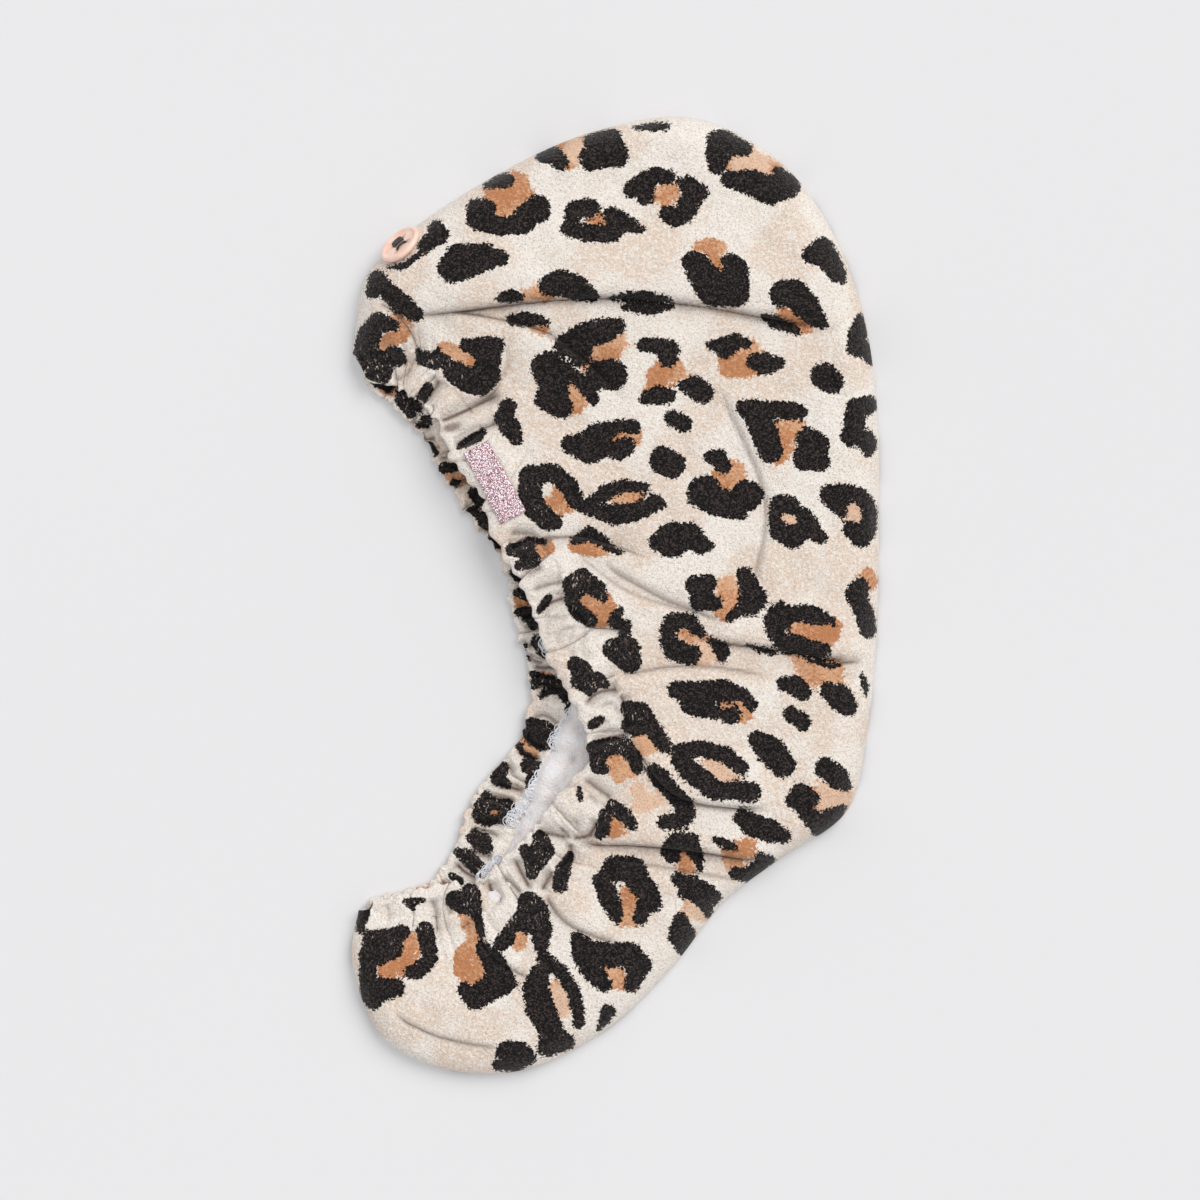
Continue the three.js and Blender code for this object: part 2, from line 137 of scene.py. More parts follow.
LOWER_VALLEYS = [
    (386, 396, 390, 386, 394, 380, 2.2), (396, 398, 404, 392, 412, 392, 1.6),
    (410, 421, 419, 427, 433, 425, 2.8), (417, 440, 426, 441, 436, 438, 2.8),
    (429, 450, 434, 449, 440, 446, 1.8), (438, 460, 447, 457, 458, 451, 2.0),
    (440, 467, 452, 467, 470, 468, 2.2), (449, 480, 459, 482, 470, 479, 2.6),
    (454, 489, 463, 485, 474, 484, 1.6), (469, 500, 474, 494, 481, 489, 2.0),
    (463, 509, 473, 509, 485, 506, 2.8), (472, 517, 480, 513, 489, 511, 2.6),
    (478, 529, 486, 531, 494, 531, 2.0), (489, 535, 499, 540, 512, 531, 3.0),
    (491, 545, 497, 550, 505, 546, 2.8), (508, 570, 514, 577, 521, 573, 2.6),
    (513, 582, 521, 580, 528, 589, 2.0), (512, 591, 522, 590, 534, 599, 2.8),
    (514, 606, 525, 609, 536, 606, 2.0), (517, 618, 527, 616, 538, 613, 2.8),
    (521, 627, 530, 627, 540, 629, 2.0), (519, 641, 527, 647, 533, 640, 2.6),
    (524, 654, 531, 661, 545, 663, 2.4), (530, 667, 546, 668, 563, 665, 2.8),
    (529, 676, 546, 677, 563, 681, 2.8), (531, 687, 543, 684, 553, 684, 2.4),
    (539, 700, 548, 688, 566, 691, 2.4), (531, 718, 546, 716, 561, 728, 2.2),
    (522, 728, 531, 742, 549, 750, 3.0), (515, 748, 524, 755, 542, 761, 2.8),
    (489, 783, 505, 787, 526, 792, 3.0), (511, 783, 517, 786, 525, 791, 2.0),
    (499, 765, 508, 767, 514, 776, 1.8), (479, 800, 496, 798, 518, 803, 2.8),
    (471, 815, 484, 824, 504, 820, 2.8), (468, 828, 482, 831, 500, 837, 2.2),
    (471, 850, 481, 856, 493, 856, 2.2), (454, 862, 465, 873, 479, 880, 3.0),
    (441, 880, 446, 887, 452, 891, 1.8),
]
# Soft wrinkles of the plain reverse that shows in the mouth.
REVERSE_WRINKLES = [
    (548, 752, 566, 755, 584, 768, 2.4), (549, 797, 563, 781, 576, 767, 1.6),
    (556, 790, 566, 800, 578, 806, 1.2), (522, 800, 540, 806, 562, 802, 1.8),
    (512, 826, 524, 818, 538, 812, 1.4), (506, 846, 514, 838, 524, 832, 1.2),
    (566, 712, 574, 724, 590, 736, 1.4),
]

# The print of the upper panel and of both hems, charted on the photograph. A mark is one stroke of a
# brush through points, each written as x, y and radius in pixels. Large patches take several strokes.
BLACK_MARKS = [
    # crown, left of the button
    (541, 157, 6, 554, 156, 10, 561, 163, 8), (592, 142, 9, 612, 138, 10, 612, 152, 14, 592, 158, 13),
    (612, 152, 12, 618, 157, 10), (486, 186, 3.5, 500, 181, 8, 508, 180, 7), (476, 208, 10, 487, 208, 9),
    (476, 220, 10, 500, 226, 10, 525, 225, 9), (524, 214, 10, 538, 206, 12, 540, 212, 11),
    (436, 229, 9, 441, 235, 9, 428, 242, 8),
    (425, 248, 5, 418, 256, 3, 410, 262, 4, 400, 267, 4, 389, 267, 2),
    (452, 268, 15, 462, 262, 19, 485, 257, 14, 500, 258, 9), (574, 210, 9, 590, 208, 10),
    (570, 222, 6, 568, 228, 8, 585, 233, 9, 612, 234, 9),
    (612, 215, 9, 622, 222, 10, 630, 225, 8, 642, 230, 4),
    (549, 285, 11, 560, 283, 14, 577, 288, 13, 593, 296, 7), (500, 298, 5, 512, 296, 7, 520, 297, 5),
    (612, 298, 3, 628, 296, 5, 645, 296, 6, 668, 299, 3), (634, 128, 2, 655, 127, 5, 667, 126, 4),
    (632, 190, 9, 645, 182, 10, 645, 197, 9), (655, 175, 8, 668, 177, 8),
    (688, 185, 10, 700, 192, 9, 690, 200, 11), (685, 212, 11, 675, 220, 8, 668, 214, 9),
    (715, 140, 9, 718, 155, 13, 716, 167, 8), (725, 142, 12, 745, 149, 8),
    (730, 180, 9, 750, 182, 13, 770, 190, 15, 788, 188, 11), (778, 170, 5, 793, 184, 6),
    (812, 255, 10, 822, 250, 13, 830, 262, 12, 838, 275, 9, 842, 280, 5),
    (695, 262, 10, 700, 275, 13, 712, 293, 14, 735, 293, 13), (730, 262, 9, 738, 275, 11, 735, 293, 13),
    (712, 280, 14, 728, 280, 14), (783, 294, 14, 795, 291, 12, 805, 305, 14, 816, 318, 10, 823, 324, 6),
    # front corner
    (376, 278, 7, 372, 292, 7), (380, 282, 8, 400, 303, 11, 416, 314, 8),
    (394, 326, 6, 378, 322, 10, 366, 335, 9, 362, 350, 9, 370, 362, 11, 384, 374, 8),
    (385, 362, 10, 396, 355, 9, 400, 360, 7), (364, 377, 1.5, 385, 381, 2),
    # side, from the long crease to the label
    (418, 351, 3, 424, 358, 8, 434, 361, 9, 440, 355, 5), (440, 352, 4, 452, 366, 5),
    (466, 345, 7, 485, 346, 9, 496, 345, 8), (490, 350, 11, 490, 375, 11),
    (455, 375, 9, 470, 380, 13, 480, 385, 12), (512, 320, 6, 525, 319, 8, 540, 321, 6, 547, 323, 4),
    (566, 345, 12, 580, 345, 14, 580, 355, 11), (582, 335, 12, 605, 330, 13, 617, 327, 9),
    (600, 374, 14, 612, 375, 16), (546, 366, 13, 552, 372, 12),
    (552, 360, 6, 575, 376, 6, 590, 393, 8, 594, 400, 6), (550, 380, 12, 552, 392, 13),
    (546, 400, 11, 562, 408, 11), (508, 407, 9, 503, 417, 9, 510, 427, 11, 517, 440, 6),
    (625, 307, 4, 650, 309, 7, 672, 306, 3), (643, 345, 7, 655, 345, 8, 668, 350, 12, 668, 358, 10),
    (646, 398, 7, 658, 395, 10, 668, 396, 8), (682, 385, 5, 695, 387, 12, 703, 393, 11),
    (672, 418, 8, 684, 424, 9), (572, 445, 11, 590, 447, 17, 600, 440, 18, 620, 430, 11, 632, 428, 9),
    (620, 450, 11, 628, 447, 8), (663, 460, 14, 672, 465, 14), (709, 457, 6, 718, 458, 10, 724, 466, 8),
    (527, 475, 8, 530, 490, 12, 532, 505, 12, 548, 520, 11, 555, 522, 8),
    (535, 475, 10, 552, 472, 9, 568, 485, 10, 575, 500, 9, 580, 508, 5),
    (590, 502, 5, 605, 492, 8, 625, 486, 7, 645, 487, 5),
    (592, 510, 7, 615, 515, 11, 635, 512, 10, 655, 503, 9, 662, 505, 5),
    (658, 542, 10, 672, 540, 18, 690, 535, 13, 700, 545, 10, 710, 546, 5), (698, 488, 10, 700, 495, 9),
    (692, 499, 5, 715, 505, 11, 735, 510, 10, 742, 516, 5), (745, 490, 11, 752, 495, 12, 750, 503, 8),
    (712, 485, 7, 705, 490, 8),
    # along the outer seam
    (712, 345, 6, 725, 348, 11, 735, 342, 9, 748, 343, 5), (755, 362, 9, 765, 364, 12, 778, 363, 7),
    (762, 316, 3, 775, 322, 7, 790, 328, 6, 798, 332, 4),
    (860, 318, 5, 858, 333, 10, 855, 348, 9, 866, 350, 9, 870, 362, 4), (824, 376, 14, 832, 382, 12),
    (742, 407, 7, 765, 408, 8, 790, 411, 10, 800, 412, 8),
    (750, 410, 8, 760, 428, 10, 768, 450, 11, 770, 456, 8),
    (808, 440, 13, 818, 445, 12, 805, 458, 13, 822, 462, 9), (855, 407, 9, 868, 405, 10),
    (855, 420, 11, 850, 437, 10), (866, 440, 10, 868, 450, 7, 872, 445, 6), (778, 502, 8, 790, 504, 8),
    (775, 515, 7, 778, 532, 9, 793, 540, 9), (805, 515, 7, 812, 530, 9, 822, 538, 6),
    (795, 535, 8, 808, 525, 9), (830, 495, 11, 838, 505, 10, 842, 512, 6),
    (845, 492, 9, 860, 495, 8, 868, 505, 8), (870, 515, 8, 868, 530, 9, 862, 540, 8),
    (850, 530, 8, 860, 535, 9), (860, 587, 10, 852, 592, 7), (858, 600, 10, 865, 615, 10, 868, 630, 9),
    (695, 585, 10, 710, 582, 8, 700, 600, 11, 715, 603, 8),
    (745, 575, 9, 750, 590, 12, 757, 598, 11, 752, 608, 8), (745, 606, 7, 730, 618, 5),
    (780, 610, 9, 772, 620, 9), (800, 613, 8, 815, 615, 8, 828, 622, 5),
    (780, 620, 10, 775, 633, 9, 785, 645, 7), (785, 645, 6, 805, 648, 9, 825, 650, 7),
    (810, 660, 3, 830, 665, 4, 838, 665, 3), (745, 644, 1.5, 762, 650, 4, 773, 653, 3.5),
    # strokes that fill the large patches of the side and the outer seam
    (371, 336, 9, 374, 350, 10, 386, 355, 8), (450, 371, 5, 462, 374, 12, 475, 367, 13, 484, 358, 12),
    (545, 368, 13, 556, 385, 12, 556, 398, 12), (758, 418, 12, 768, 436, 12, 775, 450, 8),
    (690, 262, 8, 702, 262, 7), (727, 264, 6, 738, 268, 9), (706, 486, 10, 712, 496, 10, 730, 500, 9),
    (797, 533, 7, 790, 508, 8), (790, 618, 9, 810, 618, 9, 828, 624, 8), (795, 642, 9, 815, 645, 9),
    # middle
    (672, 620, 8, 690, 622, 9, 700, 632, 6), (668, 630, 8, 668, 640, 9, 675, 650, 12, 690, 655, 11),
    (712, 641, 4, 722, 650, 9, 722, 657, 6), (613, 649, 11, 624, 652, 17, 630, 662, 12),
    (676, 690, 9, 700, 693, 12, 725, 690, 11, 742, 698, 10, 750, 704, 8),
    (690, 705, 10, 705, 710, 9, 718, 712, 7), (731, 715, 10),
    (628, 708, 8, 640, 712, 11, 652, 728, 9, 664, 745, 8), (630, 725, 9, 637, 730, 7),
    (680, 750, 7, 700, 748, 8, 725, 755, 9, 742, 768, 7), (680, 760, 9, 690, 771, 11, 707, 784, 11),
    (715, 792, 9, 735, 790, 10, 750, 792, 11),
    (654, 771, 8, 661, 779, 10, 672, 792, 9, 684, 805, 10, 687, 815, 9), (665, 822, 8, 678, 821, 8),
    (742, 817, 9, 752, 825, 12, 770, 831, 12, 783, 836, 8), (784, 684, 8, 796, 685, 10, 803, 692, 9),
    (828, 690, 9, 840, 698, 14, 848, 707, 10), (862, 675, 2, 865, 685, 4, 866, 695, 2),
    (791, 714, 8, 803, 722, 9), (758, 740, 10, 770, 750, 15, 783, 765, 13),
    (825, 768, 11, 838, 778, 12, 845, 785, 7), (812, 798, 8, 800, 790, 8, 795, 800, 10),
    (805, 812, 8, 820, 825, 12, 835, 815, 9, 843, 808, 4),
    # nape and root of the tail
    (672, 855, 9, 668, 850, 8, 675, 842, 9, 690, 842, 10, 697, 855, 7, 700, 868, 4),
    (716, 840, 4, 728, 845, 6, 735, 848, 4), (735, 873, 7, 748, 875, 8, 760, 867, 8),
    (759, 856, 4, 765, 860, 6, 772, 860, 4), (678, 878, 7, 690, 888, 13, 705, 895, 12, 715, 897, 7),
    (706, 905, 7, 709, 915, 4), (615, 868, 13, 632, 870, 14, 640, 885, 12),
    (600, 880, 8, 608, 895, 11, 615, 912, 9, 618, 922, 4), (650, 890, 8, 657, 905, 6),
    (645, 905, 9, 640, 918, 8), (680, 920, 8, 682, 935, 14, 685, 948, 9),
    # tail
    (372, 898, 2, 366, 906, 6, 362, 920, 6, 360, 928, 5), (405, 901, 3, 415, 901, 4, 423, 900, 3),
    (412, 908, 3), (372, 940, 10, 390, 940, 12, 402, 932, 8),
    (368, 955, 9, 368, 975, 9, 368, 995, 8, 372, 1005, 5), (380, 955, 10, 395, 950, 8),
    (375, 1000, 7, 380, 990, 13, 395, 988, 10),
    (425, 930, 9, 428, 945, 9, 430, 958, 8, 420, 970, 9, 412, 972, 8),
    (483, 950, 8, 495, 965, 12, 508, 983, 9), (495, 985, 14, 475, 998, 12, 465, 990, 8),
    (470, 890, 7, 475, 905, 6, 478, 920, 5, 482, 935, 4), (455, 900, 10, 465, 905, 10, 472, 895, 8),
    (528, 902, 11, 530, 915, 13, 515, 930, 11, 502, 943, 8), (536, 910, 12, 541, 928, 12, 541, 945, 8),
    (549, 960, 5, 540, 973, 10, 536, 990, 14, 540, 1008, 15, 550, 1028, 13), (548, 1046, 11, 566, 1042, 9),
    (542, 957, 4, 560, 970, 7, 573, 990, 7, 578, 1010, 7, 579, 1023, 6),
    (577, 938, 7, 590, 952, 12, 610, 955, 13, 630, 955, 13, 645, 965, 8),
    (580, 955, 9, 595, 975, 10, 605, 985, 8), (635, 975, 10, 632, 985, 8),
    (608, 1012, 8, 604, 1020, 6, 598, 1030, 2), (505, 1050, 9, 520, 1050, 9, 528, 1058, 8),
    (498, 1065, 6, 515, 1064, 9),
    # upper hem
    (459, 447, 3, 466, 443, 5, 477, 437, 6, 483, 432, 4), (428, 388, 6, 422, 398, 6, 420, 404, 4),
    (512, 550, 7, 525, 550, 9, 532, 560, 9, 520, 565, 6), (530, 540, 4, 545, 542, 3),
    (539, 611, 3.5, 546, 602, 4.5, 549, 597, 3.5), (570, 583, 8, 583, 578, 10, 598, 590, 9, 603, 598, 5),
    (570, 600, 6, 578, 612, 8, 590, 620, 8), (575, 590, 9), (619, 611, 5, 614, 621, 7, 625, 627, 7),
    (575, 540, 5, 590, 534, 8, 603, 542, 6, 615, 551, 4, 625, 553, 2), (575, 664, 8, 583, 668, 8),
    (580, 680, 10, 598, 680, 8, 605, 684, 5), (590, 690, 6), (592, 725, 5, 600, 720, 5),
    (594, 748, 8, 610, 746, 9, 624, 746, 9, 634, 757, 8, 637, 769, 6),
    (598, 758, 9, 596, 768, 6, 604, 769, 6), (579, 788, 2, 580, 794, 3.6, 581, 801, 2),
    (612, 805, 6, 625, 815, 8, 632, 825, 6), (605, 815, 6, 603, 830, 8, 600, 835, 5),
    (540, 838, 8, 545, 850, 10, 535, 860, 12, 532, 873, 7), (525, 850, 6),
    (570, 855, 4, 563, 870, 8, 560, 885, 8),
]
TAN_MARKS = [
    (577, 146, 6, 568, 150, 8, 570, 160, 5), (525, 190, 5, 520, 180, 7, 512, 195, 11, 500, 207, 7),
    (495, 193, 6), (597, 221, 4, 602, 222, 4), (530, 294, 4, 545, 296, 4), (536, 331, 1.5, 543, 333, 2.5),
    (590, 365, 4, 598, 353, 7, 612, 348, 8, 620, 345, 6), (568, 385, 5, 577, 398, 6, 578, 408, 4),
    (664, 196, 6, 670, 192, 5), (735, 163, 6, 748, 158, 6, 765, 163, 7, 772, 168, 4),
    (784, 314, 2.5, 797, 321, 4, 806, 327, 3), (655, 388, 5, 655, 375, 8, 665, 374, 8, 680, 370, 5),
    (750, 350, 6, 735, 360, 8, 728, 368, 8, 745, 370, 8),
    (795, 427, 4, 782, 432, 7, 784, 445, 6, 780, 457, 3), (615, 438, 3, 625, 434, 2.5, 637, 438, 2),
    (738, 468, 6, 732, 480, 7, 722, 486, 6), (722, 476, 5), (560, 493, 4, 556, 502, 6, 565, 506, 4),
    (618, 498, 2.5, 637, 498, 2), (787, 517, 4, 793, 521, 3.5), (850, 510, 6, 858, 508, 5, 856, 518, 4),
    (727, 583, 5, 728, 598, 8, 722, 612, 4), (868, 573, 5, 874, 582, 4),
    (797, 628, 5, 810, 631, 6, 825, 634, 7, 835, 628, 5),
    (685, 632, 3, 697, 640, 5, 708, 652, 7, 705, 660, 5), (800, 662, 6, 815, 672, 9, 835, 672, 7),
    (724, 706, 2.5, 735, 703, 2, 742, 710, 3, 745, 716, 3), (643, 737, 4, 648, 748, 4),
    (712, 763, 3, 720, 772, 5, 732, 782, 3), (638, 790, 6, 645, 804, 8, 656, 802, 5),
    (820, 790, 4, 835, 797, 8, 845, 798, 5), (820, 806, 3), (682, 855, 3, 687, 865, 4),
    (735, 865, 4, 728, 858, 5, 740, 852, 7, 748, 847, 5), (630, 893, 4, 633, 905, 5, 628, 918, 6),
    (692, 908, 5, 702, 914, 5), (413, 943, 4, 408, 955, 5, 398, 965, 6, 388, 970, 5),
    (478, 958, 5, 474, 950, 5), (398, 320, 1.5, 405, 327, 2, 409, 333, 1.5),
    (470, 945, 5, 460, 955, 6, 463, 968, 9, 475, 975, 6), (465, 923, 4, 472, 933, 4),
    (557, 992, 5, 562, 1008, 5), (606, 968, 2.5, 614, 972, 3, 619, 982, 4), (541, 549, 3, 550, 549, 4),
    (583, 600, 5, 595, 604, 5, 605, 605, 6, 602, 618, 5), (575, 548, 4, 590, 550, 6, 600, 552, 4),
    (617, 762, 6, 622, 771, 8, 619, 778, 5), (612, 825, 4, 618, 833, 4),
]
TAN_OVER_BLACK = [
    (699, 247, 3.5, 710, 244, 4, 721, 247, 3.5), (713, 252, 3, 716, 262, 3, 722, 268, 2.5),
    (444, 348, 4, 456, 353, 5, 470, 361, 5), (383, 346, 4, 391, 339, 5, 402, 335, 5),
    (797, 628, 6, 812, 632, 7, 828, 634, 9), (614, 440, 1.5, 620, 435, 2, 630, 435, 2, 637, 437, 2.5),
    (784, 517, 3.5, 792, 520, 4.5),
    (723, 708, 2, 730, 705, 1.5, 738, 703, 2, 744, 709, 2.5, 748, 714, 2.5, 742, 719, 2),
    (520, 937, 5, 519, 945, 4),
]
# Where the tan is pale, as round spots of x, y and radius in pixels.
PALE_TAN = [
    (750, 165, 34), (855, 514, 20), (702, 657, 16), (722, 775, 22), (652, 800, 26), (835, 797, 22),
    (789, 520, 10), (700, 914, 16), (562, 1005, 20), (578, 152, 14),
]
LOWER_HEM_BLACK = [
    (370, 380, 2.5, 378, 383, 5, 386, 384, 5), (390, 384, 4, 388, 392, 2.5), (401, 390, 4),
    (416, 402, 3, 421, 408, 3), (402, 401, 7, 408, 406, 8, 411, 413, 6),
    (431, 416, 2.5, 426, 422, 6.5, 418, 426, 2.5), (422, 443, 1.5, 430, 445, 4, 435, 453, 4),
    (444, 468, 6.5, 458, 467, 4, 468, 470, 5, 470, 476, 4), (455, 483, 5, 461, 481, 1.5),
    # The stroke from 474, 493 to 480, 499 is painted shadow under the label, drawn as black print.
    (474, 493, 6.5, 480, 499, 6.5), (473, 511, 5, 468, 510, 2.5), (486, 520, 9, 492, 524, 8),
    (500, 530, 8, 503, 527, 6.5), (491, 538, 2.5, 497, 544, 5), (513, 572, 4, 518, 578, 4),
    (518, 593, 5, 526, 596, 5, 532, 600, 4), (519, 612, 5, 528, 612, 5), (528, 620, 4, 533, 624, 6.5),
    (540, 600, 2.5), (537, 641, 6.5, 542, 650, 6.5, 550, 657, 4), (524, 646, 2.5),
    (526, 655, 1.5, 530, 660, 1.5), (533, 674, 4, 545, 677, 2.5, 556, 678, 4, 562, 678, 4),
    (534, 685, 5, 543, 682, 2.5), (548, 689, 4, 556, 688, 5, 566, 694, 8, 575, 704, 8, 571, 710, 6.5),
    (541, 697, 2.5, 547, 692, 2.5), (532, 726, 9, 538, 734, 10.5, 545, 740, 10.5, 552, 730, 5),
    (545, 724, 4), (524, 734, 2.5, 532, 742, 2.5, 540, 747, 2.5), (519, 746, 4, 522, 752, 2.5, 530, 756, 2),
    (528, 766, 8, 538, 770, 9, 533, 780, 8, 529, 787, 4), (503, 768, 6.5, 498, 778, 8, 507, 785, 5),
    (486, 795, 5, 482, 806, 8, 480, 816, 8, 486, 822, 5),
    (492, 803, 5, 506, 806, 8, 513, 810, 6.5, 505, 818, 6.5, 492, 820, 4),
    (472, 838, 6.5, 482, 842, 10.5, 487, 848, 6.5, 474, 832, 4),
    (458, 852, 5, 468, 858, 8, 478, 868, 8, 483, 875, 4), (490, 878, 5), (452, 876, 4, 460, 881, 5),
]
LOWER_HEM_TAN = [
    (455, 474, 5, 462, 476, 4), (520, 601, 2, 527, 605, 2.5), (546, 679, 2), (525, 744, 3, 532, 750, 2),
    (490, 814, 2, 497, 814, 1.5), (388, 388, 3), (420, 891, 3, 428, 890, 3),
]


def srgb(red, green, blue):
    """A colour as it shows on a screen, as Blender's linear colour."""
    return tuple(
        c / 12.92 if c <= 0.04045 else ((c + 0.055) / 1.055) ** 2.4 for c in (red, green, blue)
    ) + (1.0,)


def place(x, y):
    """A pixel of the photograph as a point of the frame, seen from straight above."""
    return (x - CENTRE[0]) * PIXEL, (CENTRE[1] - y) * PIXEL


def seen_at(points):
    """The pixels where points of the frame are seen by a camera that is VIEW_HEIGHT above the floor."""
    nearer = VIEW_HEIGHT / (VIEW_HEIGHT - points[..., 2])
    x = VIEW_CENTRE[0] + (points[..., 0] / PIXEL + CENTRE[0] - VIEW_CENTRE[0]) * nearer
    y = VIEW_CENTRE[1] + (CENTRE[1] - points[..., 1] / PIXEL - VIEW_CENTRE[1]) * nearer
    return x, y


def smooth(x):
    x = np.clip(x, 0, 1)
    return x * x * (3 - 2 * x)


def bell(x, width):
    """1 at 0, falling away on both sides to about a third at width."""
    return np.exp(-((x / width) ** 2))


def hump(x):
    """A rise from 0 at 0 to 1 at 1, and a long fall after it."""
    return x * np.exp(1 - x)


def round_edge(inwards, least=0.0):
    """How high a round edge is at a share of its radius inwards, as a share of its full height."""
    return np.sqrt(np.maximum(1 - (1 - inwards) ** 2, least))


def fading_ends(along, share):
    """1 along the middle of a line, dying away over a share of its length at each end."""
    return smooth(along / share) * smooth((1 - along) / share)


def curve_through(points):
    """A smooth curve through points at even steps of u from 0 to 1."""
    p = np.array(points, float)
    if p.ndim == 1:
        p = p[:, None]
    spans = len(p) - 1
    p = np.vstack([2 * p[0] - p[1], p, 2 * p[-1] - p[-2]])

    def at(u):
        x = np.clip(u, 0, 1) * spans
        i = np.minimum(x.astype(int), spans - 1)
        w = (x - i)[..., None]
        before, start, end, after = p[i], p[i + 1], p[i + 2], p[i + 3]
        leave = (end - before) / 2
        arrive = (after - start) / 2
        bend = 3 * (end - start) - 2 * leave - arrive
        return start + leave * w + bend * w**2 + (2 * (start - end) + leave + arrive) * w**3

    return at


near_stitch = curve_through([(*place(s[0], s[1]), s[9]) for s in SECTIONS])
outline = curve_through([(*place(s[2], s[3]), 0) for s in SECTIONS])
far_lip = curve_through([(*place(s[4], s[5]), 0) for s in SECTIONS])
solid_near_hem = curve_through([s[6] for s in SECTIONS])
solid_far_hem = curve_through([s[7] for s in SECTIONS])
hem_depth = curve_through([s[8] for s in SECTIONS])
crown = curve_through([s[10] for s in SECTIONS])


# Where a hem is narrower than its solid: by how much, and the middle and the half length of that part in u.
TUCK_AT_LABEL = (3.6, 0.278, 0.03)
TUCK_IN_MOUTH = (7.5, 0.565, 0.035)


def tuck(u, most, middle, half_length):
    return most * bell(u - middle, half_length)[..., None]


def near_hem(u):
    """The upper hem's width, which is less where the label is sewn to its lip."""
    return solid_near_hem(u) - tuck(u, *TUCK_AT_LABEL)


def far_hem(u):
    """The lower hem's width, which is less where the mouth shows the reverse."""
    return solid_far_hem(u) - tuck(u, *TUCK_IN_MOUTH)


SHORT_WAY = 0.01  # in u, to either side of where a line's direction is taken


def towards_mouth(line, u):
    """The level direction from a hem's stitch line out to its lip, square to the line."""
    step = line(np.minimum(u + SHORT_WAY, 1)) - line(np.maximum(u - SHORT_WAY, 0))
    out = np.stack([step[..., 1], -step[..., 0], np.zeros(u.shape)], axis=-1)
    return out / np.linalg.norm(out, axis=-1, keepdims=True)


# How far the pleats are from an even spacing, in pleats: in slow waves, and at random.
SLOW_DRIFT = 0.35
SLOW_RATE = 17
LOOSE_DRIFT = 0.26


def pleat_turns(u, phase):
    """How many pleats lie before u. A whole number is the top of a pleat."""
    slow = SLOW_DRIFT * np.sin(u * SLOW_RATE + phase)
    loose = LOOSE_DRIFT * wander(u, length=0.05, seed=12 + int(10 * phase))
    return u * PLEATS + (slow + loose) + phase


def waves(x, y, length, seed, count=9):
    """Gentle lumps about length across, between about -1 and 1: some plane waves in all directions."""
    draw = np.random.default_rng(seed)
    total = np.zeros(np.broadcast(x, y).shape)
    for k in range(count):
        heading = math.pi * (k + draw.uniform(0, 0.9)) / count
        size = length * draw.uniform(0.7, 1.5)
        start = draw.uniform(0, 2 * math.pi)
        total += np.sin(2 * math.pi * (x * math.cos(heading) + y * math.sin(heading)) / size + start)
    return total / math.sqrt(count)


def wander(x, length, seed):
    """A smooth random line, between about -1 and 1, that turns about every length."""
    return waves(x, 0 * x, length, seed, count=7)


FOLD_FADE = 0.18  # the share of a crease's length over which each end dies away
FOLD_EDGE = 0.8  # how wide the step from the swell to the dip is
FULL_RISE = 3.5  # a crease of this rise has the darkest painted shade line
FOLD_SHADE = 5.0  # how far the soft painted shade on the low side has faded by two thirds
FOLD_SOFT = 0.3  # how dark that soft painted shade is beside the painted line
FOLD_OVERHANG = 0.4  # how far the swell leans over the dip, as a share of its rise
OVERHANG_WIDTH = 4  # how far from the crease the swell still leans
SWELL_LOSS = 0.5  # how much lower the swell is at the crease, as a share of its rise
SWELL_LIP = 2.5  # how far from the crease that loss has faded by two thirds
SWELL_FALL = 0.7  # at its width, the swell is lower by this power of e
LINE_POINTS = 21


def fold_line(row):
    """A crease's course as short straight pieces."""
    middle = curve_through([place(row[0], row[1]), place(row[2], row[3]), place(row[4], row[5])])
    return middle(np.linspace(0, 1, LINE_POINTS))


def nearest_on(line, x, y):
    """The distance to a line, positive on its left, how far along that is (0 to 1), and the way right."""
    best = np.full(x.shape, np.inf)
    side = np.zeros(x.shape)
    end = np.zeros(x.shape)
    right = np.zeros(x.shape + (2,))
    for i, (a, b) in enumerate(zip(line, line[1:])):
        way = b - a
        dx = x - a[0]
        dy = y - a[1]
        share = np.clip((dx * way[0] + dy * way[1]) / (way @ way), 0, 1)
        away = np.hypot(dx - share * way[0], dy - share * way[1])
        closer = away < best
        best = np.where(closer, away, best)
        side = np.where(closer, np.sign(way[0] * dy - way[1] * dx), side)
        end = np.where(closer, (i + share) / (len(line) - 1), end)
        right[closer] = np.array([way[1], -way[0]]) / math.sqrt(way @ way)
    return best * side, end, right


def creased(x, y, rows):
    """The height and the sideways shift that the creases give to cloth at x, y, and the painted shade line
    along them.
    """
    height = np.zeros(x.shape)
    shift = np.zeros(x.shape + (2,))
    dark = np.zeros(x.shape)
    for row in rows:
        rise, wide, drop, narrow = row[6:]
        away, end, right = nearest_on(fold_line(row), x, y)
        fade = fading_ends(end, FOLD_FADE)
        swell_side = 1 / (1 + np.exp(-away / (FOLD_EDGE / 2)))
        distance = np.abs(away)
        swell = rise * (1 - SWELL_LOSS * np.exp(-distance / SWELL_LIP))
        swell = swell * np.exp(-SWELL_FALL * (distance / wide) ** 2)
        dip = drop * np.exp(-distance / narrow)
        height += fade * (swell_side * swell - (1 - swell_side) * dip)
        lean = FOLD_OVERHANG * rise * fade * swell_side * bell(distance, OVERHANG_WIDTH)
        shift += lean[..., None] * right
        # painted shade: a sharp dark line at the crease and a soft shade on its low side
        sharp = bell(away + FOLD_EDGE, 2 * FOLD_EDGE)
        soft = FOLD_SOFT * (1 - swell_side) * np.exp(-distance / FOLD_SHADE)
        line = fade * min(rise / FULL_RISE, 1) * np.maximum(sharp, soft)
        dark = np.maximum(dark, line)
    return height, shift, dark


